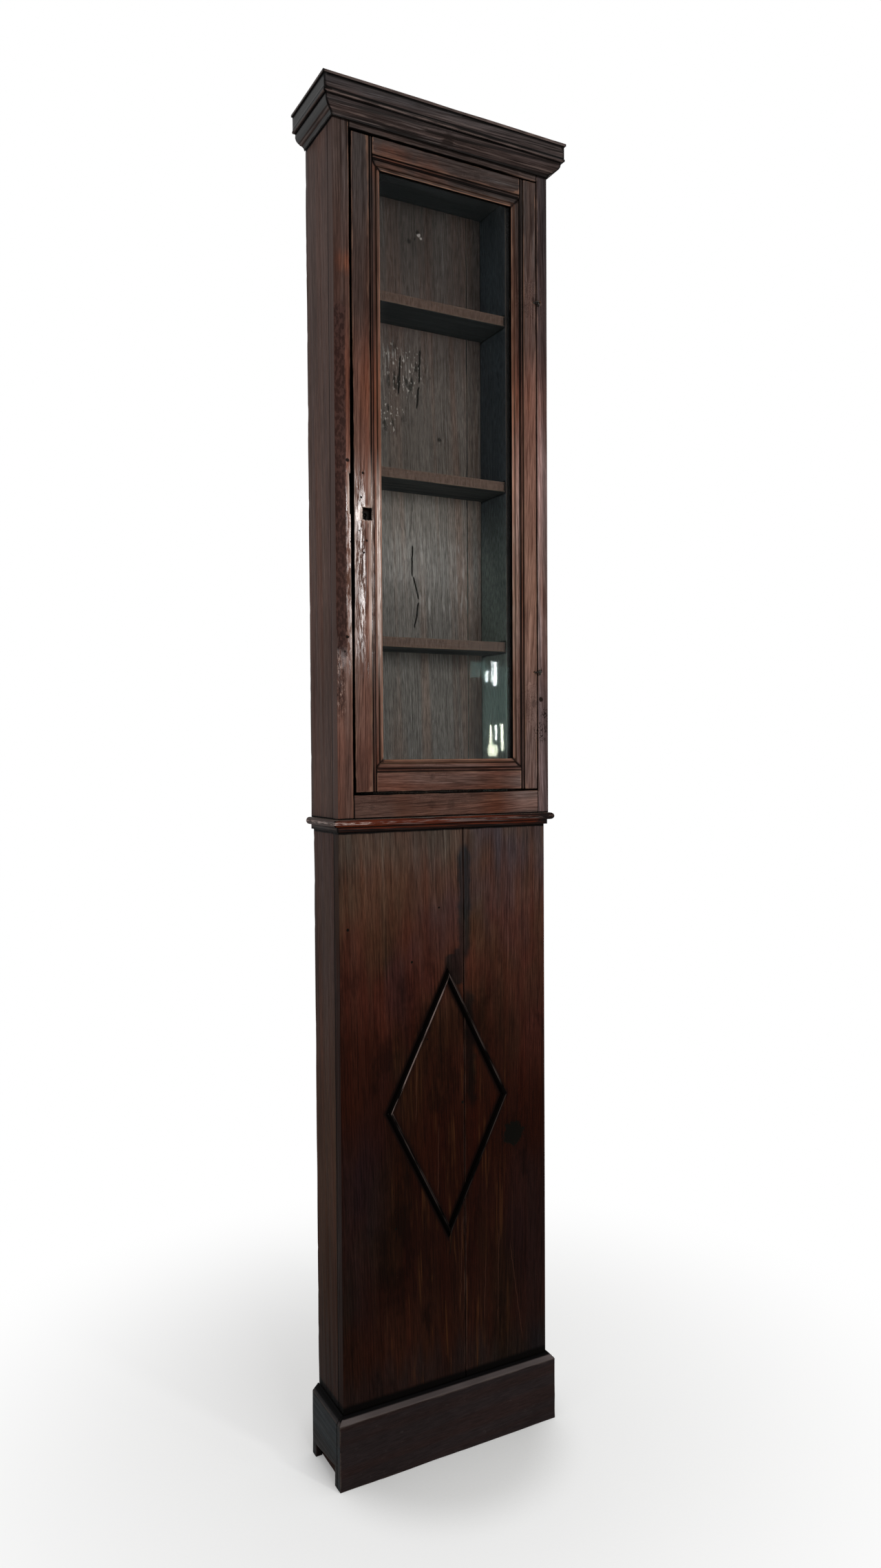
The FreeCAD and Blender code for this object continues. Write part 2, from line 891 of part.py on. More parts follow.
def back_nails():
    upper = nail_group(upper_half, waist_level, total_height, 0)
    lower = nail_group(lower_half, 0, waist_level, 0)
    return Part.makeCompound(upper.Solids + lower.Solids)


def build_pieces():
    """Every piece of the cabinet under its name."""
    pieces = {}
    pieces["plinth_front"] = plinth_front()
    pieces["plinth_left"] = plinth_left()
    pieces["plinth_right"] = plinth_side()
    pieces["lower_side_left"], pieces["lower_side_right"] = lower_sides()
    pieces["lower_front_board_left"], pieces["lower_front_board_right"] = lower_front_boards()
    pieces["lower_front_batten_low"] = batten(plinth_height + first_batten_rise)
    pieces["lower_front_batten_high"] = batten(waist_level - second_batten_drop)
    pieces["lower_bottom_board"] = level_board(lower_inner_half, front_back_y, lower_floor_level)
    pieces["lower_top_board"] = level_board(
        lower_inner_half, front_back_y, waist_level - level_board_thickness
    )
    pieces["lower_back_board_left"], pieces["lower_back_board_right"] = back_boards(
        lower_half, lower_back_joint_x, 0, waist_level
    )
    for side_name, side in (("left", -1), ("right", 1)):
        for rise_name, rise in (("lower", -1), ("upper", 1)):
            pieces["diamond_bead_" + rise_name + "_" + side_name] = diamond_bead(side, rise)
    for name, piece in zip(("front", "left", "right"), waist_moulding()):
        pieces["waist_moulding_" + name] = piece

    pieces["upper_side_left"], pieces["upper_side_right"] = upper_sides()
    pieces["upper_bottom_board"] = level_board(upper_inner_half, frame_back_y, waist_level)
    pieces["upper_ceiling_board"] = level_board(upper_inner_half, stop_y, ceiling_level)
    pieces["upper_top_board"] = level_board(
        upper_inner_half, frame_back_y, total_height - level_board_thickness
    )
    pieces["upper_back_board_left"], pieces["upper_back_board_right"] = back_boards(
        upper_half, upper_back_joint_x, waist_level, total_height
    )
    pieces["lining_right"] = lining()
    pieces["lining_left"] = mirrored(pieces["lining_right"])
    for name, shelf in zip(("low", "middle", "high"), shelf_housings(0)):
        pieces["shelf_" + name] = shelf
    pieces["frame_stile_left"] = frame_stile_left()
    pieces["frame_stile_right"] = frame_stile_right()
    pieces["frame_rail_bottom"] = frame_rail(waist_level, waist_level + frame_bottom_height)
    pieces["frame_rail_top"] = frame_rail(total_height - frame_top_height, total_height)
    for name, piece in zip(("front", "left", "right"), cornice()):
        pieces["cornice_" + name] = piece

    pieces["door_stile_left"] = door_stile_left()
    pieces["door_stile_right"] = door_stile_right()
    pieces["door_rail_bottom"] = door_rail(door_bottom, 1, door_rail_bottom_height)
    pieces["door_rail_top"] = door_rail(door_top, -1, door_rail_top_height)
    sides = ("left", "right", "bottom", "top")
    for name, piece in zip(sides, glass_mouldings()):
        pieces["glass_moulding_" + name] = piece
    for name, piece in zip(sides, glazing_beads()):
        pieces["glazing_bead_" + name] = piece
    pieces["door_glass"] = door_glass()

    pieces["lock_case"] = lock_case()
    pieces["lock_plate"] = lock_plate()
    pieces["lock_bolt"] = lock_bolt()
    pieces["lock_screws"] = lock_screws()
    pieces["hinge_door_eyes"] = hinge_door_eyes()
    pieces["hinge_frame_eyes"] = hinge_frame_eyes()
    pieces["back_nails"] = back_nails()
    return pieces


os.makedirs("parts", exist_ok=True)
for piece_name, shape in build_pieces().items():
    shape.exportStep("parts/" + piece_name + ".step")
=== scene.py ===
import json
import math
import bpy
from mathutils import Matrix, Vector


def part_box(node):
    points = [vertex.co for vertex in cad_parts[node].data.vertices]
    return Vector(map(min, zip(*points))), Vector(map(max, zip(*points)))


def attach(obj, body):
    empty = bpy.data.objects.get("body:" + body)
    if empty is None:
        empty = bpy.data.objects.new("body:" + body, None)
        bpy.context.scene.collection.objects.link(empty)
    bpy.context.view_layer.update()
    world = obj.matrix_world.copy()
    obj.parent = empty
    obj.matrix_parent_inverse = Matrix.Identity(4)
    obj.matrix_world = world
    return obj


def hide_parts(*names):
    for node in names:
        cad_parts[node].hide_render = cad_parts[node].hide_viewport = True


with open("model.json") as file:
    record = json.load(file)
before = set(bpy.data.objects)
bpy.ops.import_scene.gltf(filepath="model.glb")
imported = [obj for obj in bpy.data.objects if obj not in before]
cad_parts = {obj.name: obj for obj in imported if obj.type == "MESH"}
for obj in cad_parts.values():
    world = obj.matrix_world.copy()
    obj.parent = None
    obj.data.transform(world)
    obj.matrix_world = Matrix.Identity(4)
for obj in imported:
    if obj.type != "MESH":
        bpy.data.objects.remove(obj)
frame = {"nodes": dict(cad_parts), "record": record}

import zlib
from types import SimpleNamespace

import bmesh
import bpy
import numpy as np
from mathutils import Matrix, Vector
from mathutils.bvhtree import BVHTree

# A tall, narrow display cabinet of dark stained pine. Every wooden piece is made anew from its packed
# node, with worn arrises, an uneven surface and coordinates that follow its own grain. The glass and
# the ironwork keep their nodes' shapes and get their own finish. Metres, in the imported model's frame.

mm = 0.001


def in_mm(*values):
    return tuple(value * mm for value in values)


def in_mm_rows(*rows):
    return [in_mm(*row) for row in rows]


across_axis, depth_axis, up_axis = range(3)
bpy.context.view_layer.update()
record = frame["record"]
slot_of = {part["node"]: part["material_slot"] for part in record["subparts"]}
body_of = {name: body for body, names in record["behaviour"]["bodies"].items() for name in names}
wooden = sorted(name for name, slot in slot_of.items() if slot.endswith("_pine"))

bead_low, bead_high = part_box("diamond_bead_upper_left")
diamond_middle = bead_low.z
diamond_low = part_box("diamond_bead_lower_left")[0].z
diamond_half_width = -bead_low.x
diamond_half_height = bead_high.z - diamond_middle
keyhole_across, keyhole_level = -142.5 * mm, 1547 * mm
keyhole_half_width, keyhole_half_height = 7.25 * mm, 8.5 * mm
keyhole_margin = 1.5 * mm
plinth_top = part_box("plinth_front")[1].z
waist_low, waist_high = (corner.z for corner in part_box("waist_moulding_front"))
cornice_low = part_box("cornice_front")[0].z
door_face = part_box("door_rail_top")[0].y
# The gap round the door: its middle line's sides and ends
gap_left = (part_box("frame_stile_left")[1].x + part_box("door_stile_left")[0].x) / 2
gap_right = (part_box("frame_stile_right")[0].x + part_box("door_stile_right")[1].x) / 2
gap_low = (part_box("frame_rail_bottom")[1].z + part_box("door_rail_bottom")[0].z) / 2
gap_high = (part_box("frame_rail_top")[0].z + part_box("door_rail_top")[1].z) / 2

# Camera, at the photograph's viewing angle
image_height_px = 2278
focal_px = 1579.9
sensor_mm = 36.0
camera_place = Vector((-0.860, -1.612, 1.171))
camera_yaw, camera_pitch, camera_roll = (math.radians(angle) for angle in (28.33, -1.64, -0.34))


def make_camera():
    forward = Vector(
        (
            math.sin(camera_yaw) * math.cos(camera_pitch),
            math.cos(camera_yaw) * math.cos(camera_pitch),
            math.sin(camera_pitch),
        )
    )
    level = Vector((math.cos(camera_yaw), -math.sin(camera_yaw), 0))
    upright = level.cross(forward)
    right = math.cos(camera_roll) * level + math.sin(camera_roll) * upright
    up = math.cos(camera_roll) * upright - math.sin(camera_roll) * level
    data = bpy.data.cameras.new("camera")
    data.sensor_width = sensor_mm
    data.lens = focal_px * sensor_mm / image_height_px
    camera = bpy.data.objects.new("camera", data)
    turn = Matrix((right, up, -forward)).transposed().to_4x4()
    camera.matrix_world = Matrix.Translation(camera_place) @ turn
    bpy.context.scene.collection.objects.link(camera)
    bpy.context.scene.camera = camera


# Node trees

class Shader:
    """One node tree, with short ways to add nodes to it. A span is a pair of values, (start, end)."""

    def __init__(self, owner):
        owner.use_nodes = True
        self.owner = owner
        self.tree = owner.node_tree
        self.tree.nodes.clear()

    def add(self, kind, inputs=(), **settings):
        node = self.tree.nodes.new(kind)
        for name, value in settings.items():
            setattr(node, name, value)
        for key, value in dict(inputs).items():
            self.put(node.inputs[key], value)
        return node

    def put(self, socket, value):
        if isinstance(value, bpy.types.NodeSocket):
            self.tree.links.new(value, socket)
        elif socket.type == "RGBA":
            socket.default_value = (*value, 1.0)
        else:
            socket.default_value = value

    def math(self, operation, *values):
        return self.add("ShaderNodeMath", enumerate(values), operation=operation).outputs[0]

    def chain(self, operation, values):
        result = values[0]
        for value in values[1:]:
            result = self.math(operation, result, value)
        return result

    def total(self, *values):
        return self.chain("ADD", values)

    def product(self, *values):
        return self.chain("MULTIPLY", values)

    def most(self, *values):
        return self.chain("MAXIMUM", values)

    def less(self, first, second):
        return self.math("SUBTRACT", first, second)

    def without(self, *masks):
        """1 where none of the masks is."""
        return self.less(1.0, self.most(*masks))

    def size(self, value):
        return self.math("ABSOLUTE", value)

    def apart(self, first, second):
        """How far one value is from another."""
        return self.size(self.less(first, second))

    def attribute(self, name, output):
        return self.add("ShaderNodeAttribute", attribute_name=name).outputs[output]

    def place(self):
        """Place on the cabinet at rest, in metres."""
        return self.add("ShaderNodeTexCoord").outputs["Object"]

    def facing(self, axis):
        """One axis of the surface's direction on the cabinet at rest."""
        return self.split(self.add("ShaderNodeTexCoord").outputs["Normal"])[axis]

    def split(self, vector):
        return self.add("ShaderNodeSeparateXYZ", {0: vector}).outputs

    def scaled(self, vector, factor):
        """vector times a number, a vector or a socket."""
        operation = "MULTIPLY" if isinstance(factor, tuple) else "SCALE"
        key = 1 if isinstance(factor, tuple) else "Scale"
        return self.add("ShaderNodeVectorMath", {0: vector, key: factor}, operation=operation).outputs[0]

    def noise(self, vector, waves, detail, roughness=0.5):
        """Noise around 0.5. waves is per metre along vector's axes; a pair's first counts for two axes."""
        waves = waves if len(waves) == 3 else (waves[0], *waves)
        inputs = {"Vector": self.scaled(vector, waves), "Scale": 1.0, "Detail": detail}
        return self.add("ShaderNodeTexNoise", {**inputs, "Roughness": roughness}).outputs[0]

    def centred(self, vector, noise, height):
        """Noise from -height / 2 to height / 2."""
        return self.product(self.less(self.noise(vector, *noise), 0.5), height)

    def patches(self, vector, noise, span):
        """1 in patches, where the noise is past the span's end."""
        return self.step(self.noise(vector, *noise), span)

    def step(self, value, span, low=0.0, high=1.0):
        """low up to the span's start, high from its end, and smooth between them."""
        start, end = span
        inputs = {"Value": value, "From Min": start, "From Max": end, "To Min": low, "To Max": high}
        return self.add("ShaderNodeMapRange", inputs, interpolation_type="SMOOTHSTEP").outputs["Result"]

    def between(self, value, *spans):
        """The product of the steps over the spans: 1 where value is past all their ends."""
        return self.product(*(self.step(value, span) for span in spans))

    def fade(self, mask, low, high):
        """Any value from low at 0 to high at 1, as mask goes from 0 to 1."""
        return self.step(mask, (0.0, 1.0), low, high)

    def mix(self, factor, first, second):
        node = self.add("ShaderNodeMix", data_type="RGBA")
        enabled = {socket.name: socket for socket in node.inputs if socket.enabled}
        for name, value in (("Factor", factor), ("A", first), ("B", second)):
            self.put(enabled[name], value)
        return next(socket for socket in node.outputs if socket.enabled)

    def cover(self, colour, top, *masks):
        """colour, with top over it by the product of the masks."""
        return self.mix(self.product(*masks), colour, top)

    def tinge(self, colour, factor, *masks):
        """colour, multiplied by factor where the product of the masks is 1."""
        return self.cover(colour, self.scaled(colour, factor), *masks)

    def tints(self, value, listed):
        """The listed colours, each (place, colour), blended as value goes from place to place."""
        (start, colour), *later = listed
        for place, following in later:
            colour = self.mix(self.step(value, (start, place)), colour, following)
            start = place
        return colour

    def bump(self, height):
        """Normal of a surface that stands height metres proud."""
        return self.add("ShaderNodeBump", {"Height": height, "Strength": 1.0, "Distance": 1.0}).outputs[0]

    def principled(self, **inputs):
        named = {name.replace("_", " "): value for name, value in inputs.items()}
        return self.add("ShaderNodeBsdfPrincipled", named).outputs[0]

    def finish(self, surface):
        self.add("ShaderNodeOutputMaterial", {"Surface": surface})
        return self.owner


def shader(name):
    return Shader(bpy.data.materials.new(name))


def palette(**colours):
    """Named colours, each (red, green, blue)."""
    return SimpleNamespace(**colours)


# Wood

# A noise is (waves per metre, detail, roughness). Its waves are (across, along) the wood, with the waves
# into it between them where they differ. A ragged border is (noise, height in metres).
drift, waver = (((5, 1.3), 1), 26 * mm), (((90, 7), 1), 2.4 * mm)
strength_noise, fibre_noise, fine_noise = ((18, 2), 2), ((1000, 40), 2, 0.6), ((430, 5), 2, 0.6)
streak_noise, band_noise, blotch_noise = ((190, 2.6), 2, 0.6), ((48, 1.3), 1), ((11, 3.5), 3, 0.55)
patch_noise, thread_noise, rubbed_noise = ((5.5, 3), 2), ((620, 12), 1), ((16, 5), 3)
arris_noise, dimple_noise = ((160, 28), 2), ((55, 9), 2)
spot_noise, wander_noise = ((190, 110), 2), ((40, 70), 3)
swirl_height, swirl_reach = 14 * mm, 4
line_end_share = 0.15

# Levels of the corners by the cornice, waist moulding and plinth, and how far dirt and painted shade reach
dirty_shaded_corners = ((cornice_low, 3.5 * mm), (waist_high, 3 * mm), (waist_low, 5 * mm), (plinth_top, 15 * mm))
corner_ragged = (((40, 40), 3), 3 * mm)

# How the stain's colour changes in the red bands, the dark late wood and the pale worn fibres
red_share = (1.12, 0.86, 0.76)
dark_share = (0.46, 0.40, 0.38)
pale_share = (1.50, 1.62, 1.70)
seam_share = 0.06
raw = palette(early=(0.2, 0.13, 0.078), late=(0.11, 0.062, 0.034))
dust = palette(dark=(0.085, 0.072, 0.06), pale=(0.13, 0.112, 0.095))


class Wood(Shader):
    """A wooden finish, with the wood's patterns from 0 to 1 and the marks that the woods share."""

    def __init__(self, name, ring_gap, knots=()):
        super().__init__(bpy.data.materials.new(name))
        self.wood = self.attribute("wood", "Vector")  # across, into and along the grain
        self.at = self.place()
        self.across, self.depth, self.level = self.split(self.at)
        across, into, _ = self.split(self.wood)
        reach = self.total(across, self.centred(self.wood, *drift), self.centred(self.wood, *waver))
        from_pith = self.math("SQRT", self.total(self.product(reach, reach), self.product(into, into)))
        self.knot = self.spots(knots, soft_share=0.6)
        swirl = self.spots([(x, z, swirl_reach * radius) for x, z, radius in knots], soft_share=1.0)
        from_pith = self.total(from_pith, self.product(swirl, swirl_height))
        turn = self.math("FRACT", self.math("DIVIDE", from_pith, ring_gap))
        strength = self.step(self.noise(self.wood, *strength_noise), (0.35, 0.65), 0.25, 1.0)
        self.late = self.product(self.between(turn, (0.35, 0.85), (1.0, 0.9)), strength)
        self.fibre = self.noise(self.wood, *fibre_noise)
        self.fine = self.noise(self.wood, *fine_noise)
        self.streak = self.noise(self.wood, *streak_noise)
        self.band = self.noise(self.wood, *band_noise)
        self.blotch = self.noise(self.wood, *blotch_noise)
        self.patch = self.noise(self.at, *patch_noise)
        kinds = ("edge", "seam", "tone")
        self.edge, self.seam, self.tone = (self.attribute(kind, "Fac") for kind in kinds)

    def spots(self, listed, soft_share=0.5, ragged_share=0.5):
        """1 at the listed spots, each (x, z, radius) in metres, and 0 away from them."""
        found = 0.0
        if listed:
            flat = self.scaled(self.at, (1.0, 0.0, 1.0))
            ragged = self.centred(self.at, spot_noise, 2 * ragged_share)
        for x, z, radius in listed:
            distance = self.add("ShaderNodeVectorMath", {0: flat, 1: (x, 0.0, z)}, operation="DISTANCE")
            away = self.total(distance.outputs["Value"], self.product(ragged, radius))
            found = self.most(found, self.step(away, (radius, radius * (1 - soft_share))))
        return found

    def lines(self, listed, width, wander):
        """1 on the listed upright lines, each (low x, low z, high x, high z) in metres."""
        shift = self.centred(self.at, wander_noise, wander)
        found = 0.0
        for low_x, low_z, high_x, high_z in listed:
            lean = (high_x - low_x) / (high_z - low_z)
            middle = self.total(self.product(self.less(self.level, low_z), lean), low_x, shift)
            side = self.step(self.apart(self.across, middle), (width, 0.0))
            fade = line_end_share * (high_z - low_z)
            ends = self.between(self.level, (low_z, low_z + fade), (high_z, high_z - fade))
            found = self.most(found, self.product(side, ends))
        return found

    def corner_dirt_and_shade(self):
        """Dirt and painted shade: 1 in the corners against the cornice, the waist moulding and the plinth.
        """
        found = 0.0
        ragged = self.centred(self.at, *corner_ragged)
        for corner, reach in dirty_shaded_corners:
            away = self.total(self.apart(self.level, corner), ragged)
            found = self.most(found, self.step(away, (reach, 0.5 * reach)))
        return found

    def stain(self, colour, lined=1.0):
        """Stained pine: fine straight lines over soft clouds of thicker and thinner stain."""
        cloud = self.total(self.product(self.blotch, 0.5), self.product(self.patch, 0.5))
        colour = self.scaled(colour, self.step(cloud, (0.38, 0.62), 0.84, 1.15))
        colour = self.tinge(colour, red_share, self.step(self.band, (0.42, 0.66)), 0.7)
        colour = self.tinge(colour, dark_share, self.late, 0.42 * lined)
        colour = self.tinge(colour, dark_share, self.step(self.fine, (0.5, 0.64)), 0.5 * lined)
        rubbed = self.step(self.noise(self.at, *rubbed_noise), (0.36, 0.62), 0.15, 1.0)
        colour = self.tinge(colour, pale_share, self.step(self.streak, (0.52, 0.68)), rubbed, 0.55 * lined)
        thread = self.patches(self.wood, thread_noise, (0.58, 0.7))
        colour = self.tinge(colour, pale_share, thread, rubbed, 0.4 * lined)
        tint = self.step(self.fibre, (0.36, 0.64), 0.78, 1.22)
        return self.scaled(colour, self.product(tint, self.fade(self.tone, 0.92, 1.08)))

    def worn_arris(self, colour, bare, share):
        """The stain is rubbed off the arrises in patches, and dirt and painted shade fill the seams."""
        uneven = self.product(self.noise(self.wood, *arris_noise), 0.7)
        ragged = self.total(self.product(self.edge, 0.8), uneven)
        rubbed = self.cover(colour, bare, self.step(ragged, (0.82, 1.15)), share)
        dirt = self.product(self.step(self.seam, (0.4, 0.85)), self.step(self.blotch, (0.3, 0.6), 0.75, 1.0))
        return self.mix(dirt, rubbed, self.scaled(colour, seam_share))

    def raw_rear(self, colour):
        """Unstained, grey-brown wood on faces that look to the back."""
        bare = self.mix(self.late, raw.early, raw.late)
        bare = self.scaled(bare, self.step(self.blotch, (0.3, 0.7), 0.75, 1.2))
        return self.cover(colour, bare, self.step(self.facing(depth_axis), (0.6, 0.8)))

    def dusty(self, colour):
        """Dust in patches on faces that look up."""
        above = self.step(self.facing(up_axis), (0.85, 0.97))
        patchy = self.step(self.patch, (0.35, 0.55), 0.35, 0.8)
        return self.cover(colour, self.mix(self.blotch, dust.dark, dust.pale), above, patchy)

    def relief(self, fibre_mm, ring_mm, uneven_mm):
        """Height of the surface in metres: raised late wood, fibres and tool marks, given in millimetres."""
        return self.total(
            self.product(self.late, ring_mm * mm),
            self.product(self.fibre, fibre_mm * mm),
            self.product(self.noise(self.wood, *dimple_noise), uneven_mm * mm),
            self.product(self.streak, 2 * fibre_mm * mm),
        )

    def wooden(self, colour, height, rough, specular, **coat):
        """The finished material. rough is (low, high) over the wood's streaks."""
        roughness = self.step(self.streak, (0.3, 0.7), *rough)
        surface = self.principled(
            Base_Color=colour,
            Roughness=roughness,
            Normal=self.bump(height),
            Specular_IOR_Level=specular,
            **coat,
        )
        return self.finish(surface)


# Sides of both cases

case_tints = (
    (0.12, (0.026, 0.014, 0.011)), (0.3, (0.036, 0.015, 0.008)), (0.52, (0.052, 0.025, 0.015)),
    (0.9, (0.072, 0.044, 0.036)), (1.04, (0.066, 0.04, 0.034)), (1.1, (0.092, 0.058, 0.048)),
    (1.45, (0.108, 0.066, 0.054)), (2.1, (0.105, 0.067, 0.057)),
)
case = palette(arris=(0.105, 0.062, 0.045), dirt=(0.0014, 0.0016, 0.0018))
case_grey_noise, case_grey_share = ((70, 2), 1), (0.84, 0.92, 1.1)


def case_material():
    """Even brown with a painted grey sheen, darker and redder lower down."""
    w = Wood("case_pine", ring_gap=3.6 * mm)
    colour = w.stain(w.tints(w.level, case_tints), lined=1.2)
    colour = w.tinge(colour, case_grey_share, w.patches(w.wood, case_grey_noise, (0.5, 0.62)), 0.35)
    colour = w.worn_arris(colour, case.arris, share=0.55)
    # Dirt and painted shade in the corners
    colour = w.cover(colour, case.dirt, w.corner_dirt_and_shade(), 0.95)
    height = w.relief(fibre_mm=0.05, ring_mm=0.06, uneven_mm=0.5)
    return w.wooden(w.dusty(w.raw_rear(colour)), height, rough=(0.42, 0.62), specular=0.02)


# Door and face frame

# Spots, each (x, z, radius)
stile_holes = in_mm_rows(
    (-153, 1572, 2.4), (-178, 1353, 3), (-171, 1501, 2), (-144, 1505, 2.2), (-157, 1520, 1.6),
    (-149, 1486, 1.8), (-176, 1627, 4), (-150, 1610, 2.6), (-183, 1330, 2.4), (182, 1262, 5),
)
pitted_patches = in_mm_rows((184, 1205, 26), (192, 1235, 18))
rail_knots = in_mm_rows(
    (-139, 1085, 6), (-32, 1088, 9), (4, 1085, 10), (-30, 1132, 7), (60, 2118, 7), (168, 1255, 9),
    (171, 1936, 9),
)
orange_patches = in_mm_rows(
    (-176, 1930, 26), (-135, 1740, 90), (-95, 2095, 60),
    (-30, 2080, 60), (150, 1760, 60), (150, 1440, 80),
)
# Colours by level: the stain, with painted shade at the top under the cornice and painted window light about
# the lock
door_tints = (
    (1.085, (0.056, 0.022, 0.013)), (1.15, (0.07, 0.032, 0.023)), (1.22, (0.094, 0.054, 0.043)),
    (1.45, (0.12, 0.064, 0.046)), (1.62, (0.103, 0.052, 0.038)), (1.76, (0.078, 0.036, 0.026)),
    (1.88, (0.038, 0.023, 0.019)), (2.1, (0.034, 0.027, 0.025)),
)
door = palette(
    arris=(0.17, 0.092, 0.062), orange=(0.084, 0.034, 0.02), lit_slope=(0.19, 0.088, 0.048),
    grey=(0.098, 0.074, 0.068), dull=(0.05, 0.032, 0.027), outer_side=(0.085, 0.052, 0.044),
    shiny=(0.48, 0.37, 0.32), soot=(0.0016, 0.0009, 0.0007), hole=(0.007, 0.004, 0.003),
    split_pale=(0.26, 0.18, 0.15), split_dark=(0.012, 0.006, 0.005),
    planed_dark=(0.014, 0.006, 0.005), planed_pale=(0.036, 0.017, 0.014),
    planed_fleck=(0.13, 0.1, 0.095),
)
right_stile = (in_mm(138, 143), (gap_right + 1 * mm, gap_right))
right_half, low_levels, dull_levels = in_mm(90, 150), (1.34, 1.22), (1.3, 1.12)


def door_colour(w, lit_slopes):
    """The stained colour of the door and face frame, before their marks."""
    colour = w.tints(w.level, door_tints)
    colour = w.scaled(colour, w.fade(w.between(w.across, *right_stile), 1.0, 1.25))
    greyed = w.product(w.step(w.across, right_half), w.step(w.level, low_levels))
    colour = w.cover(colour, door.grey, greyed, w.step(w.patch, (0.35, 0.5), 0.4, 1.0), 0.75)
    colour = w.cover(colour, door.dull, w.step(w.patch, (0.48, 0.6)), w.step(w.level, dull_levels), 0.6)
    orange = w.spots(orange_patches, soft_share=1.0, ragged_share=0.2)
    colour = w.cover(colour, door.orange, orange, w.step(w.band, (0.35, 0.6)), 0.7)
    # Painted highlight on the glass moulding's slopes, stronger lower down
    if lit_slopes:
        slopes = w.step(w.edge, (0.45, 0.85))
        colour = w.cover(colour, door.lit_slope, slopes, w.step(w.level, (2.0, 1.7), 0.25, 0.5))
    return w.worn_arris(w.stain(colour, lined=1.6), door.arris, share=0.6)


# Painted window light: the right side is paler between these levels
window_levels = ((1.28, 1.42), (1.85, 1.62))
frame_right, frame_right_share = (gap_right, gap_right + 1 * mm), (1.08, 1.22, 1.42)
frame_lit_share, moulding_lit_share = (1.9, 2.5, 2.9), (2.3, 3.2, 3.9)
moulding_right, outer_arris = in_mm_rows((100, 110), (183, 190))


def window_light(w, colour, lit_slopes):
    """Painted window light: paler on the right face stile and right glass moulding; painted shade on the
    outer arris.
    """
    outermost = w.step(w.across, frame_right)
    colour = w.tinge(colour, frame_right_share, outermost)
    lit = w.step(w.across, moulding_right) if lit_slopes else outermost
    factor = moulding_lit_share if lit_slopes else frame_lit_share
    streaky = w.step(w.streak, (0.3, 0.7), 0.35, 0.8)
    colour = w.tinge(colour, factor, lit, w.between(w.level, *window_levels), streaky)
    return w.tinge(colour, 0.3, w.step(w.across, outer_arris), 0.7)


# The left face stile's outer arris is planed back between these levels, and splintered below them
planed_low, planed_high = 1.335, 1.880
planed_start, planed_end = in_mm(-176.5, -180)
planed_lowest = (planed_low - 15 * mm, planed_low + 10 * mm)
planed_highest = (planed_high, planed_high - 25 * mm)
planed_ragged, planed_low_ragged = (((160, 110), 3), 5 * mm), (((60, 60), 1), 60 * mm)
split_across, split_levels = in_mm(-178, -188), ((1.2, 1.27), (1.42, 1.34))
split_share = (0.50, 0.58, 0.64)
splinter_noise, mottle_noise = ((330, 120), 4, 0.7), ((240, 130), 3)


def planed_back(w):
    """1 on the part of the left stile's face that was planed back, with a ragged border."""
    side = w.step(w.total(w.across, w.centred(w.at, *planed_ragged)), (planed_start, planed_end))
    lowest = w.step(w.total(w.level, w.centred(w.at, *planed_low_ragged)), planed_lowest)
    return w.product(side, lowest, w.step(w.level, planed_highest))


def broken_arris(w, colour, planed):
    """Splinters and planing along the left face stile's outer arris."""
    splinters = w.noise(w.at, *splinter_noise)
    split = w.product(w.step(w.across, split_across), w.between(w.level, *split_levels))
    colour = w.tinge(colour, split_share, split, 0.7)
    colour = w.cover(colour, door.split_pale, split, w.step(splinters, (0.55, 0.62)), 0.6)
    colour = w.cover(colour, door.split_dark, split, w.step(splinters, (0.45, 0.39)), 0.9)
    # The planed slope's dark mottle is its own colour and also painted shade, as the slope turns from the
    # light
    mottled = w.mix(w.patches(w.at, mottle_noise, (0.42, 0.62)), door.planed_dark, door.planed_pale)
    colour = w.cover(colour, mottled, planed, 0.92)
    return w.cover(colour, door.planed_fleck, planed, w.step(splinters, (0.68, 0.74)), 0.5)


# Painted shade along the gap round the door: its reach, its extra reach beside the lock, and its ragged
# border
gap_shade_reach, gap_shade_extra, gap_ragged = 2.7 * mm, 1.3 * mm, (((50, 50), 2), 1.6 * mm)
lock_half, lock_levels, gap_ends = in_mm(0, -100), ((1.3, 1.45), (1.85, 1.7)), in_mm(-30, -20)
gap_shade_wanes = in_mm(100, 165)


def door_gap_shade(w):
    """Painted shade: 1 along the gap round the door, wider beside the lock and at the ends."""
    side = w.less(w.apart(w.across, (gap_left + gap_right) / 2), (gap_right - gap_left) / 2)
    end = w.less(w.apart(w.level, (gap_low + gap_high) / 2), (gap_high - gap_low) / 2)
    away = w.total(w.size(w.most(side, end)), w.centred(w.at, *gap_ragged))
    beside_lock = w.product(w.step(w.across, lock_half), w.between(w.level, *lock_levels))
    wide = w.most(beside_lock, w.step(end, gap_ends, 0.0, 0.6))
    dirt = w.step(w.less(away, w.product(wide, gap_shade_extra)), (gap_shade_reach, 0.6 * gap_shade_reach))
    return w.product(dirt, w.step(w.across, gap_shade_wanes, 1.0, 0.4))


square_to, outer_side = (0.75, 0.95), in_mm(180, 190)
behind_door_face = (door_face + 1 * mm, door_face + 3 * mm)


def door_sides(w):
    """The face frame's outer sides, painted shade in the gap round the door, and dirt and painted shade in
    the corners.
    """
    sideways = w.step(w.size(w.facing(across_axis)), square_to)
    endways = w.step(w.size(w.facing(up_axis)), square_to)
    outer = w.step(w.size(w.across), outer_side)
    gap = w.most(w.product(sideways, w.less(1.0, outer)), endways)
    gap = w.product(gap, w.step(w.depth, behind_door_face))
    return w.product(sideways, outer), w.most(gap, door_gap_shade(w), w.product(w.corner_dirt_and_shade(), 0.92))


pit_noise, frayed, bruise_span = ((520, 300), 2), (((300, 300), 3), 5 * mm), in_mm(2.6, 0.6)


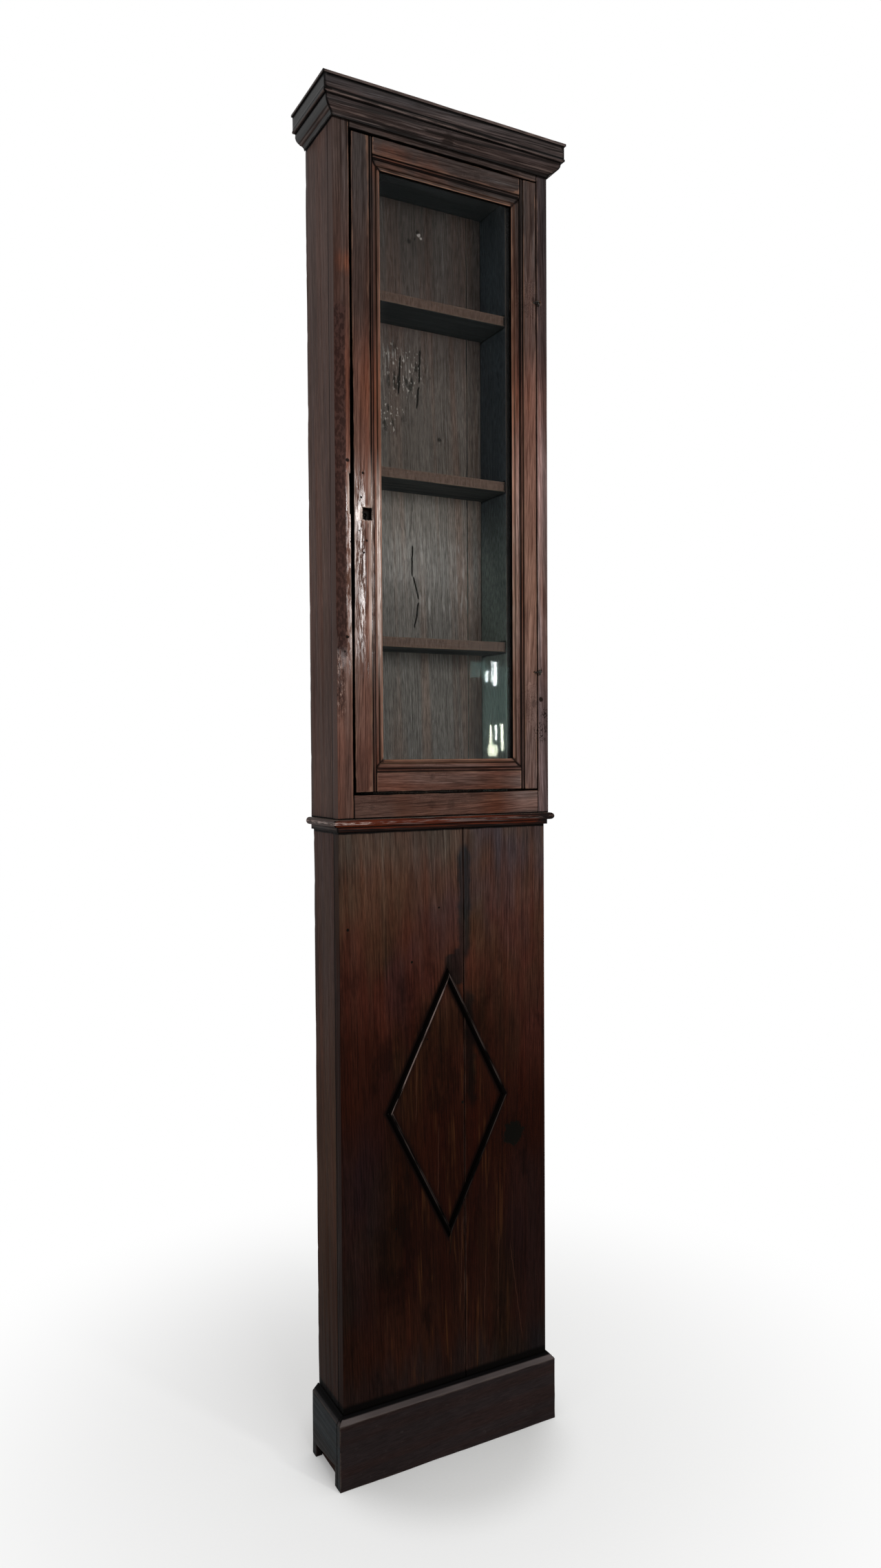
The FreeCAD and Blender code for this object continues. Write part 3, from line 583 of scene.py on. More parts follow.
def stile_wounds(w):
    """The holes and pits of the stiles, and the bruised wood round the keyhole."""
    pits = w.product(w.patches(w.at, pit_noise, (0.56, 0.62)), w.spots(pitted_patches, soft_share=0.8))
    rim = w.less(w.apart(w.across, keyhole_across), keyhole_half_width)
    sill = w.less(w.apart(w.level, keyhole_level), keyhole_half_height)
    border = w.total(w.most(rim, sill), w.centred(w.at, *frayed))
    return w.most(pits, w.spots(stile_holes)), w.step(border, bruise_span)


# The varnish round the lock is crackled and glossy, and its edges carry a painted shine
crackled_levels = ((1.25, 1.42), (1.66, 1.54))
crackled_across, frame_left = in_mm_rows((-112, -122), (-160, -168))
crazed_noise, lift_noise = ((300, 40), 4, 0.7), ((140, 26), 3)
crazed_height, lift_height, hole_depth = in_mm(0.25, 0.3, 1)


def door_material(name, lit_slopes):
    """Red-brown, the varnish crackled and glossy around the lock."""
    w = Wood(name, ring_gap=2.8 * mm, knots=rail_knots)
    colour = window_light(w, door_colour(w, lit_slopes), lit_slopes)
    near_lock = w.product(w.between(w.level, *crackled_levels), w.step(w.across, crackled_across))
    # A painted shine on the arrises round the lock
    streaky = w.step(w.streak, (0.35, 0.6), 0.3, 0.85)
    colour = w.cover(colour, door.shiny, near_lock, w.step(w.edge, (0.35, 0.8)), streaky)
    planed = planed_back(w)
    colour = broken_arris(w, colour, planed)
    # The outer sides' colour, then painted shade in the gap and dirt and painted shade in the corners
    outside, soot = door_sides(w)
    colour = w.cover(w.cover(colour, door.outer_side, outside, 0.85), door.soot, soot)
    hole, bruise = stile_wounds(w)
    dark = w.most(hole, w.product(w.knot, 0.32), bruise)
    colour = w.raw_rear(w.cover(colour, door.hole, dark))
    gloss = w.product(near_lock, w.without(planed, outside, dark, soot))
    crazed = w.noise(w.at, *crazed_noise)
    height = w.total(
        w.relief(fibre_mm=0.05, ring_mm=0.07, uneven_mm=0.45),
        w.product(crazed, w.fade(gloss, 0.0, crazed_height)),
        w.product(w.noise(w.at, *lift_noise), w.fade(gloss, 0.0, lift_height)),
        w.product(hole, -hole_depth),
    )
    coat = w.product(gloss, w.step(crazed, (0.44, 0.58)), w.step(w.across, frame_left, 0.6, 1.0))
    colour = w.tinge(colour, 0.3, gloss, w.step(crazed, (0.48, 0.4)), 0.6)
    return w.wooden(colour, height, (0.36, 0.56), 0.02, Coat_Weight=coat, Coat_Roughness=0.13)


# Cornice and waist moulding

cornice_knot = in_mm_rows((0, 2154, 15))
waist_to_cornice, to_waist = (1.2, 2.0), (1.2, 1.1)
fascia_low = cornice_low + 36 * mm
fascia_levels, fascia_left = (fascia_low, fascia_low + 6 * mm), in_mm(120, -20)
under_fascia, cornice_right = (fascia_low, fascia_low - 6 * mm), in_mm(-60, 60)
crown_level, crown_width = waist_high - 6 * mm, in_mm(3, 1)
crown_left, charred_right = in_mm(-90, -160), in_mm(160, 185)
moulding_tints = ((1.06, (0.05, 0.0105, 0.004)), (1.1, (0.042, 0.034, 0.033)))
moulding_arris = ((1.06, (0.12, 0.042, 0.026)), (1.1, (0.12, 0.085, 0.075)))
moulding = palette(
    grey=(0.024, 0.021, 0.021), soot=(0.005, 0.0035, 0.003), scratch=(0.1, 0.078, 0.072),
    dirt=(0.002, 0.0014, 0.0012), waist_side=(0.06, 0.045, 0.04), cornice_side=(0.086, 0.087, 0.088),
    glint=(0.42, 0.33, 0.3), charred=(0.004, 0.003, 0.003), knot=(0.012, 0.008, 0.007),
)
sooty_noise, scratch_noise, glint_noise = ((210, 2.2), 2), ((330, 6), 2), ((50, 500), 4, 0.7)


def moulding_marks(w, colour):
    """The waist moulding's crown with painted glints, its charred right end, and the cornice's knot."""
    at_waist = w.step(w.level, to_waist)
    crown = w.step(w.apart(w.level, crown_level), crown_width)
    crown = w.product(crown, w.step(w.across, crown_left, 0.12, 0.8))
    glints = w.patches(w.at, glint_noise, (0.44, 0.6))
    colour = w.cover(colour, moulding.glint, at_waist, crown, glints)
    charred = w.product(w.step(w.across, charred_right), w.step(glints, (0.9, 0.4)))
    return w.cover(w.cover(colour, moulding.charred, at_waist, charred, 0.9), moulding.knot, w.knot, 0.8)


def moulding_material():
    """Grey-brown, with dirt and painted shade in the hollows, rubbed bright on the edges."""
    w = Wood("moulding_pine", ring_gap=2.6 * mm, knots=cornice_knot)
    high = w.step(w.level, waist_to_cornice)
    colour = w.tints(w.level, moulding_tints)
    colour = w.cover(colour, moulding.grey, w.step(w.patch, (0.42, 0.58)), high, 0.7)
    colour = w.stain(colour, lined=1.3)
    colour = w.cover(colour, moulding.soot, w.patches(w.wood, sooty_noise, (0.5, 0.58)), 0.85)
    colour = w.cover(colour, moulding.scratch, w.patches(w.wood, scratch_noise, (0.6, 0.7)), 0.6)
    # Faces that look left take a grey, painted sheen of the light on that side
    side = w.mix(high, moulding.waist_side, moulding.cornice_side)
    colour = w.cover(colour, side, w.step(w.facing(across_axis), (-0.4, -0.6)), 0.8)
    colour = w.worn_arris(colour, w.tints(w.level, moulding_arris), share=0.75)
    fascia = w.product(w.step(w.level, fascia_levels), w.step(w.across, fascia_left))
    low_right = w.product(w.step(w.level, under_fascia), w.step(w.across, cornice_right), high)
    colour = w.scaled(colour, w.fade(w.most(fascia, low_right), 1.0, 0.72))
    # Dirt and painted shade in the corners, on faces that don't look up
    colour = w.cover(colour, moulding.dirt, w.corner_dirt_and_shade(), w.step(w.facing(up_axis), (0.6, 0.2)), 0.9)
    colour = w.dusty(w.raw_rear(moulding_marks(w, colour)))
    height = w.relief(fibre_mm=0.06, ring_mm=0.05, uneven_mm=0.5)
    return w.wooden(colour, height, rough=(0.34, 0.56), specular=0.03)


# Diamond bead

bead_top, bead_middle = in_mm(8, -8), (diamond_middle - 20 * mm, diamond_middle + 20 * mm)
bead, bead_noise = palette(black=(0.001, 0.0006, 0.0005), rubbed=(0.13, 0.095, 0.085)), ((60, 22), 3)


def bead_material():
    """Black, with dirt and painted shade on the left flank; a painted highlight, partly rubbed wear, on
    crown and right flank.
    """
    w = Wood("diamond_pine", ring_gap=2.2 * mm)
    upper_left = w.product(w.step(w.across, bead_top), w.step(w.level, bead_middle))
    lit_flanks = w.between(w.facing(across_axis), (-0.05, 0.15), (0.66, 0.5))
    rubbed = w.patches(w.wood, bead_noise, (0.38, 0.62))
    colour = w.cover(bead.black, bead.rubbed, lit_flanks, rubbed, w.fade(upper_left, 0.2, 1.0))
    colour = w.scaled(colour, w.step(w.level, (diamond_low, diamond_middle), 0.5, 1.0))
    height = w.relief(fibre_mm=0.05, ring_mm=0.05, uneven_mm=0.4)
    surface = w.principled(Base_Color=colour, Roughness=0.6, Normal=w.bump(height), Specular_IOR_Level=0.01)
    return w.finish(surface)


# Lower front

# Knots and nicks, each (x, z, radius), and runs, cracks and lines, each (low x, low z, high x, high z)
front_knots = in_mm_rows((128, 516, 25))
front_nicks = in_mm_rows(
    (-14.8, 916, 2), (-66, 830, 2.6), (-179, 892, 3), (-98, 397, 2.6), (-38, 700, 2), (28, 585, 3)
)
damp_run = in_mm_rows((33, 815, 33, 1030), (18, 780, 24, 850), (4, 790, 10, 840))
faint_run, front_cracks = in_mm_rows((46, 560, 40, 790)), in_mm_rows((2, 330, 6, 372))
pale_lines = in_mm_rows(
    (119, 333, 146, 145), (68, 200, 72, 320), (-60, 560, -58, 680),
    (-20, 430, -18, 560), (95, 180, 98, 360), (22, 230, 26, 400),
)
# Half width of each kind of line, and how far it wanders
pale_size, damp_size, faint_size, crack_size = in_mm_rows((1.3, 3), (19, 10), (18, 16), (1.2, 2))

bead_ragged, diamond_left = (((120, 120), 1), 2.4 * mm), in_mm(2, -2)
outside_bead, inside_bead = in_mm_rows((6.5, 1), (-6, -4)), in_mm_rows((-18, -11), (-5, -6))


def bead_dirt_and_shadow(w):
    """Dirt and painted shadow on the boards along the bead, heaviest against each length's left flank."""
    sideways = w.math("DIVIDE", w.size(w.across), diamond_half_width)
    upward = w.math("DIVIDE", w.apart(w.level, diamond_middle), diamond_half_height)
    span = diamond_half_width * diamond_half_height / math.hypot(diamond_half_width, diamond_half_height)
    outward = w.product(w.less(w.total(sideways, upward), 1.0), span)
    offset = w.total(outward, w.centred(w.at, *bead_ragged))
    left = w.step(w.across, diamond_left)
    outside = w.product(w.between(offset, *outside_bead), w.fade(left, 0.45, 1.0))
    inside = w.product(w.between(offset, *inside_bead), w.fade(left, 1.0, 0.45))
    return w.most(outside, inside)


front_tints = (
    (0.13, (0.01, 0.005, 0.004)), (0.2, (0.013, 0.004, 0.002)), (0.32, (0.009, 0.0022, 0.001)),
    (0.55, (0.011, 0.0022, 0.0008)), (0.7, (0.014, 0.0034, 0.0016)), (0.8, (0.026, 0.0075, 0.0045)),
    (0.88, (0.037, 0.0135, 0.0085)), (0.95, (0.043, 0.02, 0.0135)), (1.03, (0.04, 0.026, 0.021)),
)
front = palette(
    red=(0.034, 0.01, 0.007), purple=(0.008, 0.0038, 0.0036), glow=(0.034, 0.0125, 0.004),
    pale=(0.05, 0.02, 0.012), black=(0.0025, 0.001, 0.0008), mark=(0.0024, 0.0022, 0.0015),
    side=(0.02, 0.009, 0.007), arris=(0.04, 0.022, 0.017), dirt=(0.0012, 0.0008, 0.0007),
)
olive_share, violet_share, damp_share = (0.82, 1.18, 1.02), (0.72, 0.86, 1.30), (0.26, 0.50, 0.74)
front_wavy, front_cloudy = (((60, 1.6), 2), 110 * mm), (((7, 4), 1), 90 * mm)
olive_noise, violet_noise, glow_noise = ((8, 3.2), 3), ((7, 6, 2.6), 3), ((30, 9), 3)
sooted_noise, sunk_noise = ((17, 8), 4, 0.65), ((260, 4), 2)
red_across, red_levels = in_mm(70, 170), ((0.58, 0.72), (0.95, 0.82))
purple_sides, purple_low, olive_low = in_mm(90, 170), (0.62, 0.5), (1.0, 0.85)
glow_middle, glow_low, sooted_low = in_mm(150, 80), (0.8, 0.6), (0.95, 0.75)
halo_reach = 2.4
mark_depth = 0.8 * mm


def front_colour(w):
    """The lower front's stained colour, before its marks."""
    sides = w.size(w.across)
    ragged = w.total(w.level, w.centred(w.wood, *front_wavy), w.centred(w.at, *front_cloudy))
    colour = w.tints(ragged, front_tints)
    colour = w.cover(colour, front.red, w.step(w.across, red_across), w.between(w.level, *red_levels), 0.5)
    purple = w.product(w.step(sides, purple_sides), w.step(w.level, purple_low))
    colour = w.cover(colour, front.purple, purple, w.step(w.patch, (0.4, 0.55)), 0.6)
    olive = w.patches(w.at, olive_noise, (0.5, 0.62))
    colour = w.tinge(colour, olive_share, olive, w.step(w.level, olive_low, 0.3, 0.8))
    colour = w.tinge(colour, violet_share, w.patches(w.at, violet_noise, (0.54, 0.64)), 0.7)
    colour = w.stain(colour, lined=1.25)
    glow = w.product(w.step(w.streak, (0.52, 0.66)), w.step(w.level, glow_low), w.step(sides, glow_middle))
    colour = w.cover(colour, front.glow, glow, w.patches(w.at, glow_noise, (0.46, 0.6)), 0.6)
    sooted = w.patches(w.at, sooted_noise, (0.54, 0.66))
    colour = w.tinge(colour, 0.28, sooted, w.step(w.level, sooted_low), 0.6)
    return w.tinge(colour, 0.25, w.patches(w.wood, sunk_noise, (0.6, 0.7)), 0.55)


def front_material():
    """Greyed at the top, red-brown below it and nearly black towards the plinth."""
    w = Wood("front_pine", ring_gap=4.4 * mm, knots=front_knots)
    colour = w.cover(front_colour(w), front.pale, w.lines(pale_lines, *pale_size), 0.4)
    damp = w.most(w.lines(damp_run, *damp_size), w.product(w.lines(faint_run, *faint_size), 0.7))
    colour = w.tinge(colour, damp_share, w.step(damp, (0.0, 0.7)), 0.9)
    # Dirt and painted shadow along the bead
    colour = w.cover(colour, front.black, bead_dirt_and_shadow(w), 0.93)
    knot = w.step(w.knot, (0.05, 0.55), 0.0, 0.94)
    marks = w.most(w.spots(front_nicks), w.lines(front_cracks, *crack_size), knot)
    colour = w.cover(colour, front.mark, marks)
    halo = w.spots([(x, z, halo_reach * radius) for x, z, radius in front_knots], soft_share=1.0)
    colour = w.tinge(colour, 0.5, halo, 0.5)
    colour = w.cover(colour, front.side, w.step(w.size(w.facing(across_axis)), square_to), 0.5)
    colour = w.worn_arris(colour, front.arris, share=0.5)
    # Dirt and painted shade in the corners
    colour = w.raw_rear(w.cover(colour, front.dirt, w.corner_dirt_and_shade()))
    height = w.total(w.relief(fibre_mm=0.05, ring_mm=0.08, uneven_mm=0.6), w.product(marks, -mark_depth))
    return w.wooden(colour, height, rough=(0.4, 0.62), specular=0.02)


# Plinth

plinth = palette(
    front=(0.013, 0.0092, 0.0092), side=(0.026, 0.0295, 0.032), scuff=(0.04, 0.032, 0.03),
    arris=(0.055, 0.042, 0.036), edge=(0.08, 0.066, 0.064), soot=(0.001, 0.0008, 0.0009),
)
scuff_noise, scuff_depth = ((60, 130), 4, 0.7), 0.2 * mm
facing_left, towards_left, side_rise = (-0.6, -0.9), (-0.3, -0.6), 2.5 * mm
shadow_levels = (plinth_top - 5 * mm, plinth_top - 3 * mm)


def plinth_material():
    """Nearly black, scuffed along its edges; painted shadow and highlight on its chamfer, painted light on
    faces that look left.
    """
    w = Wood("plinth_pine", ring_gap=3.2 * mm)
    turned = w.facing(across_axis)
    # Faces that look left are bluish grey, painted light on that side
    colour = w.stain(w.mix(w.step(turned, facing_left), plinth.front, plinth.side), lined=0.2)
    scuff = w.patches(w.at, scuff_noise, (0.6, 0.72))
    colour = w.worn_arris(w.cover(colour, plinth.scuff, scuff, 0.3), plinth.arris, share=0.6)
    # The chamfer: painted shadow along its top under the front boards, a painted highlight below that
    chamfered = w.step(w.facing(up_axis), (0.2, 0.5))
    shadow_band = w.step(w.total(w.level, w.step(turned, towards_left, 0.0, side_rise)), shadow_levels)
    patchy = w.step(w.blotch, (0.35, 0.6), 0.45, 1.0)
    front_share = w.step(turned, towards_left, 1.0, 0.3)
    colour = w.cover(colour, plinth.edge, chamfered, w.less(1.0, shadow_band), patchy, front_share)
    colour = w.raw_rear(w.cover(colour, plinth.soot, chamfered, shadow_band))
    height = w.total(w.relief(fibre_mm=0.06, ring_mm=0.06, uneven_mm=0.7), w.product(scuff, -scuff_depth))
    return w.wooden(colour, height, rough=(0.45, 0.65), specular=0.02)


# Inside of the upper case

# Cracks, each (low x, low z, high x, high z), and specks and patches, each (x, z, radius)
back_cracks = in_mm_rows(
    (-7, 1383, 2, 1433), (2, 1433, -9, 1476), (-11, 1470, -10, 1530),
    (-1, 1758, 5, 1801), (5, 1801, 7, 1864), (-36, 1775, -30, 1850),
)
faint_cracks = in_mm_rows((-14, 1529, -9, 1612), (-11, 1188, -13, 1294))
back_crack_size, faint_crack_size = in_mm_rows((2.4, 5), (1.6, 8))
back_specks = in_mm_rows((4, 2059, 4), (-13, 2041, 5), (-2, 2047, 3), (44, 1713, 5))
pale_specks = in_mm_rows((6, 2055, 4), (10, 2050, 3))
torn_patches = in_mm_rows((-26, 1820, 60), (-50, 1745, 45))
scraped_patches = in_mm_rows((80, 1470, 100), (-45, 1500, 70), (-40, 1830, 45), (20, 1440, 60))
# Back boards' colours by level, with each bay's painted light and shade: darkest in the top bay, palest in
# the third
inside_tints = (
    (1.1, (0.085, 0.078, 0.072)), (1.3, (0.1, 0.092, 0.084)), (1.4, (0.122, 0.111, 0.102)),
    (1.5, (0.172, 0.16, 0.15)), (1.58, (0.138, 0.124, 0.112)), (1.66, (0.097, 0.082, 0.072)),
    (1.76, (0.093, 0.078, 0.069)), (1.9, (0.058, 0.045, 0.04)), (2.06, (0.048, 0.039, 0.035)),
)
# Side walls' colours by level, palest low down: painted light and reflection
wall_tints = ((1.34, (0.2, 0.245, 0.22)), (1.46, (0.14, 0.175, 0.165)), (1.64, (0.033, 0.045, 0.056)))
inside = palette(
    shelf_edge=(0.062, 0.038, 0.029), under=(0.015, 0.02, 0.022), pale=(0.24, 0.225, 0.215),
    torn=(0.014, 0.012, 0.01), fleck=(0.3, 0.27, 0.25), grease=(0.006, 0.005, 0.005),
    crack=(0.006, 0.005, 0.004), arris=(0.12, 0.086, 0.066),
)
pore_noise, scraped_noise = ((420, 75), 3, 0.65), ((230, 22), 2)
tool_noise, fleck_noise = ((110, 32), 2), ((260, 120), 2)
turned_front, turned_side = (-0.6, -0.8), (0.6, 0.8)
shelf_depth, lining_depth, lining_sides = in_mm_rows((30, 20), (-15, -22), (122, 125))
crack_depth, tool_depth = in_mm(1.2, 0.6)


def turned_faces(w, colour, grained):
    """Shelf fronts, painted light on the walls, painted shadow on the linings' front edges and painted shade
    under shelves.
    """
    front_edge = w.step(w.facing(depth_axis), turned_front)
    shelf_front = w.scaled(inside.shelf_edge, grained)
    colour = w.cover(colour, shelf_front, front_edge, w.step(w.depth, shelf_depth), 0.85)
    shade = w.product(w.step(w.blotch, (0.3, 0.7), 0.75, 1.25), grained)
    wall = w.scaled(w.tints(w.level, wall_tints), shade)
    colour = w.cover(colour, wall, w.step(w.size(w.facing(across_axis)), turned_side), 0.9)
    rebate_shadow = w.product(w.step(w.depth, lining_depth), w.step(w.size(w.across), lining_sides))
    colour = w.cover(colour, inside.grease, front_edge, rebate_shadow, 0.95)
    # Painted shade on the shelves' undersides
    return w.cover(colour, w.scaled(inside.under, grained), w.step(w.facing(up_axis), turned_front), 0.9)


def inside_material():
    """Dry and grey-brown, with the marks of the plane and open shakes, and painted light and shade by bay
    and under shelves.
    """
    w = Wood("inside_pine", ring_gap=3.8 * mm, knots=back_specks)
    colour = w.stain(w.tints(w.level, inside_tints), lined=0.9)
    pores = w.noise(w.at, *pore_noise)
    colour = w.tinge(colour, 0.5, w.step(pores, (0.5, 0.38)), 0.5)
    colour = w.tinge(colour, 1.45, w.step(pores, (0.54, 0.66)), 0.4)
    scraped = w.spots(scraped_patches, soft_share=1.0)
    colour = w.cover(colour, inside.pale, scraped, w.patches(w.at, scraped_noise, (0.54, 0.66)), 0.75)
    torn = w.spots(torn_patches, soft_share=0.7)
    tool = w.product(w.patches(w.at, tool_noise, (0.57, 0.66)), torn)
    colour = w.cover(colour, inside.torn, tool, 0.9)
    flecks = w.product(w.patches(w.at, fleck_noise, (0.6, 0.66)), torn)
    colour = w.cover(colour, inside.fleck, w.most(flecks, w.spots(pale_specks)), 0.8)
    colour = turned_faces(w, colour, w.step(pores, (0.36, 0.64), 0.68, 1.3))
    crack = w.step(w.lines(back_cracks, *back_crack_size), (0.1, 0.6))
    crack = w.most(crack, w.product(w.lines(faint_cracks, *faint_crack_size), 0.45))
    colour = w.cover(colour, inside.crack, w.most(crack, w.product(w.knot, 0.8)))
    colour = w.raw_rear(w.worn_arris(colour, inside.arris, share=0.35))
    height = w.total(
        w.relief(fibre_mm=0.08, ring_mm=0.12, uneven_mm=0.8),
        w.product(crack, -crack_depth),
        w.product(tool, -tool_depth),
    )
    return w.wooden(colour, height, rough=(0.6, 0.8), specular=0.06)


# Hidden boards

sawn_tints, sawn_dirt = ((0.2, (0.17, 0.108, 0.064)), (1.6, (0.195, 0.128, 0.078))), (0.06, 0.042, 0.03)
sawn_dirt_noise, saw_noise, saw_height = ((9, 6), 4, 0.6), ((6, 320), 1), 0.25 * mm


def rough_material():
    """Sawn, unfinished and aged."""
    w = Wood("rough_pine", ring_gap=4.2 * mm)
    colour = w.stain(w.tints(w.level, sawn_tints))
    colour = w.cover(colour, sawn_dirt, w.patches(w.at, sawn_dirt_noise, (0.45, 0.7)), 0.6)
    saw = w.product(w.noise(w.wood, *saw_noise), saw_height)
    height = w.total(w.relief(fibre_mm=0.12, ring_mm=0.08, uneven_mm=0.6), saw)
    surface = w.principled(Base_Color=colour, Roughness=0.78, Normal=w.bump(height), Specular_IOR_Level=0.15)
    return w.finish(surface)


# Glass and iron

film_noise, sway_noise, sway_height = ((14, 5), 4, 0.65), ((26, 9), 1), 0.012 * mm
dusty_rim, rubbed_across, rubbed_levels = in_mm(30, 8), in_mm(10, 60), (1.38, 1.33)
glass = palette(clear=(0.935, 0.94, 0.935), mirror=(0.86, 0.95, 0.95), haze=(0.34, 0.36, 0.36))
rim_dust_share, dust_share = 0.020, 0.006


def glass_material():
    """Old sheet glass: barely mirrors, slightly wavy, dusty towards its edges."""
    s = shader("old_glass")
    place = s.place()
    x, _, z = s.split(place)
    low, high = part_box("door_glass")
    side = s.math("MINIMUM", s.less(x, low.x), s.less(high.x, x))
    end = s.math("MINIMUM", s.less(z, low.z), s.less(high.z, z))
    rim = s.step(s.math("MINIMUM", side, end), dusty_rim)
    film = s.noise(place, *film_noise)
    dust = s.total(s.product(rim, film, rim_dust_share), s.product(film, dust_share))
    normal = s.bump(s.product(s.noise(place, *sway_noise), sway_height))
    rubbed = s.product(s.step(x, rubbed_across), s.step(z, rubbed_levels))
    mirror = s.add("ShaderNodeFresnel", {"IOR": s.fade(rubbed, 1.04, 1.14), "Normal": normal}).outputs[0]
    clear = s.add("ShaderNodeBsdfTransparent", {"Color": glass.clear}).outputs[0]
    shine = {"Color": glass.mirror, "Roughness": 0.02, "Normal": normal}
    gloss = s.add("ShaderNodeBsdfGlossy", shine).outputs[0]
    haze = s.add("ShaderNodeBsdfDiffuse", {"Color": glass.haze}).outputs[0]
    seen = s.add("ShaderNodeMixShader", {0: mirror, 1: clear, 2: gloss}).outputs[0]
    return s.finish(s.add("ShaderNodeMixShader", {0: dust, 1: seen, 2: haze}).outputs[0])


iron_noise, rust_noise, iron_height = ((180, 180), 4, 0.6), ((70, 70), 3), 0.25 * mm


def iron_material(name, colours, metallic, rough):
    """Forged or tarnished iron with rust in patches."""
    s = shader(name)
    place = s.place()
    mottle = s.noise(place, *iron_noise)
    rusty = s.patches(place, rust_noise, (0.48, 0.62))
    surface = s.principled(
        Base_Color=s.mix(rusty, s.mix(mottle, colours.dark, colours.light), colours.rust),
        Metallic=s.fade(rusty, metallic, 0.1),
        Roughness=s.fade(rusty, rough, 0.8),
        Specular_IOR_Level=0.05,
        Normal=s.bump(s.product(mottle, iron_height)),
    )
    return s.finish(surface)


# Worn wooden pieces

noise_seed, noise_side = 11, 48
noise_table = np.random.default_rng(noise_seed).random((noise_side, noise_side, noise_side))


def smooth_noise(points):
    """Noise from 0 to 1 at points that are given in waves."""
    cell = np.floor(points).astype(int)
    share = points - cell
    share = share * share * (3 - 2 * share)
    total = np.zeros(len(points))
    for corner in np.ndindex(2, 2, 2):
        weight = np.where(corner, share, 1 - share).prod(axis=1)
        at = (cell + corner) % noise_side
        total += weight * noise_table[at[:, 0], at[:, 1], at[:, 2]]
    return total


def wood_directions(name):
    """Unit vectors across the grain, into the piece and along the grain, as the rows of an array."""
    low, high = (np.array(corner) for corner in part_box(name))
    size = high - low
    if name.startswith("diamond_bead_"):
        rising = name.endswith(("upper_left", "lower_right"))
        along = np.array((size[0], 0, size[2] if rising else -size[2]))
        along /= np.linalg.norm(along)
        into = np.array((0.0, 1.0, 0.0))
        return np.array((np.cross(along, into), into, along))
    thin = int(np.argmin(size))
    long = int(np.argmax(size[:2])) if name.startswith("plinth_") else int(np.argmax(size))
    return np.eye(3)[[3 - thin - long, thin, long]]


join_distance = 0.002 * mm
flat_angle, arris_angle, bevel_angle, sharp_angle = (math.radians(angle) for angle in (0.5, 28, 38, 36))


def plain_mesh(node):
    """The node's mesh with its doubled vertices joined and its flat faces whole."""
    bm = bmesh.new()
    bm.from_mesh(node.data)
    bmesh.ops.remove_doubles(bm, verts=bm.verts, dist=join_distance)
    bmesh.ops.dissolve_limit(bm, angle_limit=flat_angle, verts=bm.verts, edges=bm.edges)
    bm.normal_update()
    return bm


def solid_of(node):
    bm = plain_mesh(node)
    solid = BVHTree.FromBMesh(bm)
    bm.free()
    return solid


solids = {name: solid_of(node) for name, node in frame["nodes"].items()}


def touches_another(name, point, reach=0.6 * mm):
    """True if another piece of wood lies against this point."""
    near = (solids[other].find_nearest(point, reach) for other in wooden if other != name)
    return any(found[0] is not None for found in near)


def face_width(face, edge):
    return face.calc_area() / max(edge.calc_length(), mm)


bevel_room_share = 0.3
joined_bevel_share = 0.3
near_end_share = 0.2
bevel_segments = 2


def soften_arrises(bm, name, arris):
    """Sets each arris's bevel. Returns the free arrises and the seams, as pairs of end points."""
    weight = bm.edges.layers.float.new("bevel_weight_edge")
    free, seams = [], []
    for edge in bm.edges:
        if len(edge.link_faces) != 2 or edge.calc_face_angle(0) < arris_angle:
            continue
        first, second = (vertex.co for vertex in edge.verts)
        ends = (np.array(first), np.array(second))
        probes = ((first + second) / 2, first.lerp(second, near_end_share))
        joined = any(touches_another(name, probe) for probe in probes)
        (seams if joined or not edge.is_convex else free).append(ends)
        if edge.is_convex and edge.calc_face_angle(0) > bevel_angle:
            room = bevel_room_share * min(face_width(face, edge) for face in edge.link_faces)
            edge[weight] = min(arris * (joined_bevel_share if joined else 1.0), room) / arris
    return free, seams


cut_distance = 0.01 * mm
cut_margin = 3 * mm
cross_cells = 1.6  # cells across the grain, as a multiple of the cells along it


def cut_planes(bm, direction, positions):
    """Cuts the mesh square to direction at each position, from the lowest up."""
    ahead = list(bm.faces)
    for position in sorted(positions):
        geometry = set(ahead)
        for face in ahead:
            geometry.update(face.edges)
            geometry.update(face.verts)
        made = bmesh.ops.bisect_plane(
            bm, geom=list(geometry), dist=cut_distance, plane_co=direction * position, plane_no=direction
        )
        faces = [item for item in made["geom"] if isinstance(item, bmesh.types.BMFace) and item.is_valid]
        passed = position + 2 * cut_distance
        ahead = [face for face in faces if max(v.co.dot(direction) for v in face.verts) > passed]


def positions_between(low, high, margin, cell):
    """Cuts near both ends and evenly between them, about a cell apart."""
    if high - low < 3 * margin:
        return [(low + high) / 2]
    count = max(1, round((high - low - 2 * margin) / cell))
    return list(np.linspace(low + margin, high - margin, count + 1))


# Cuts that keep the keyhole's corners from shading the face around it, each (piece's axis, position)
keyhole_cuts = [(0, keyhole_across + side * (keyhole_half_width + keyhole_margin)) for side in (-1, 1)]
keyhole_cuts += [(2, keyhole_level + side * (keyhole_half_height + keyhole_margin)) for side in (-1, 1)]
own_cuts = {"door_stile_left": keyhole_cuts}


def nearness(points, segments, reach):
    """1 on the nearest segment, falling to 0 at reach from it."""
    if not segments:
        return np.zeros(len(points))
    least = np.full(len(points), reach)
    for first, second in segments:
        line = second - first
        share = np.clip((points - first) @ line / (line @ line), 0, 1)
        away = np.linalg.norm(points - first - share[:, None] * line, axis=1)
        least = np.minimum(least, away)
    return 1 - least / reach


def seed_of(name):
    return np.random.default_rng(zlib.crc32(name.encode()))


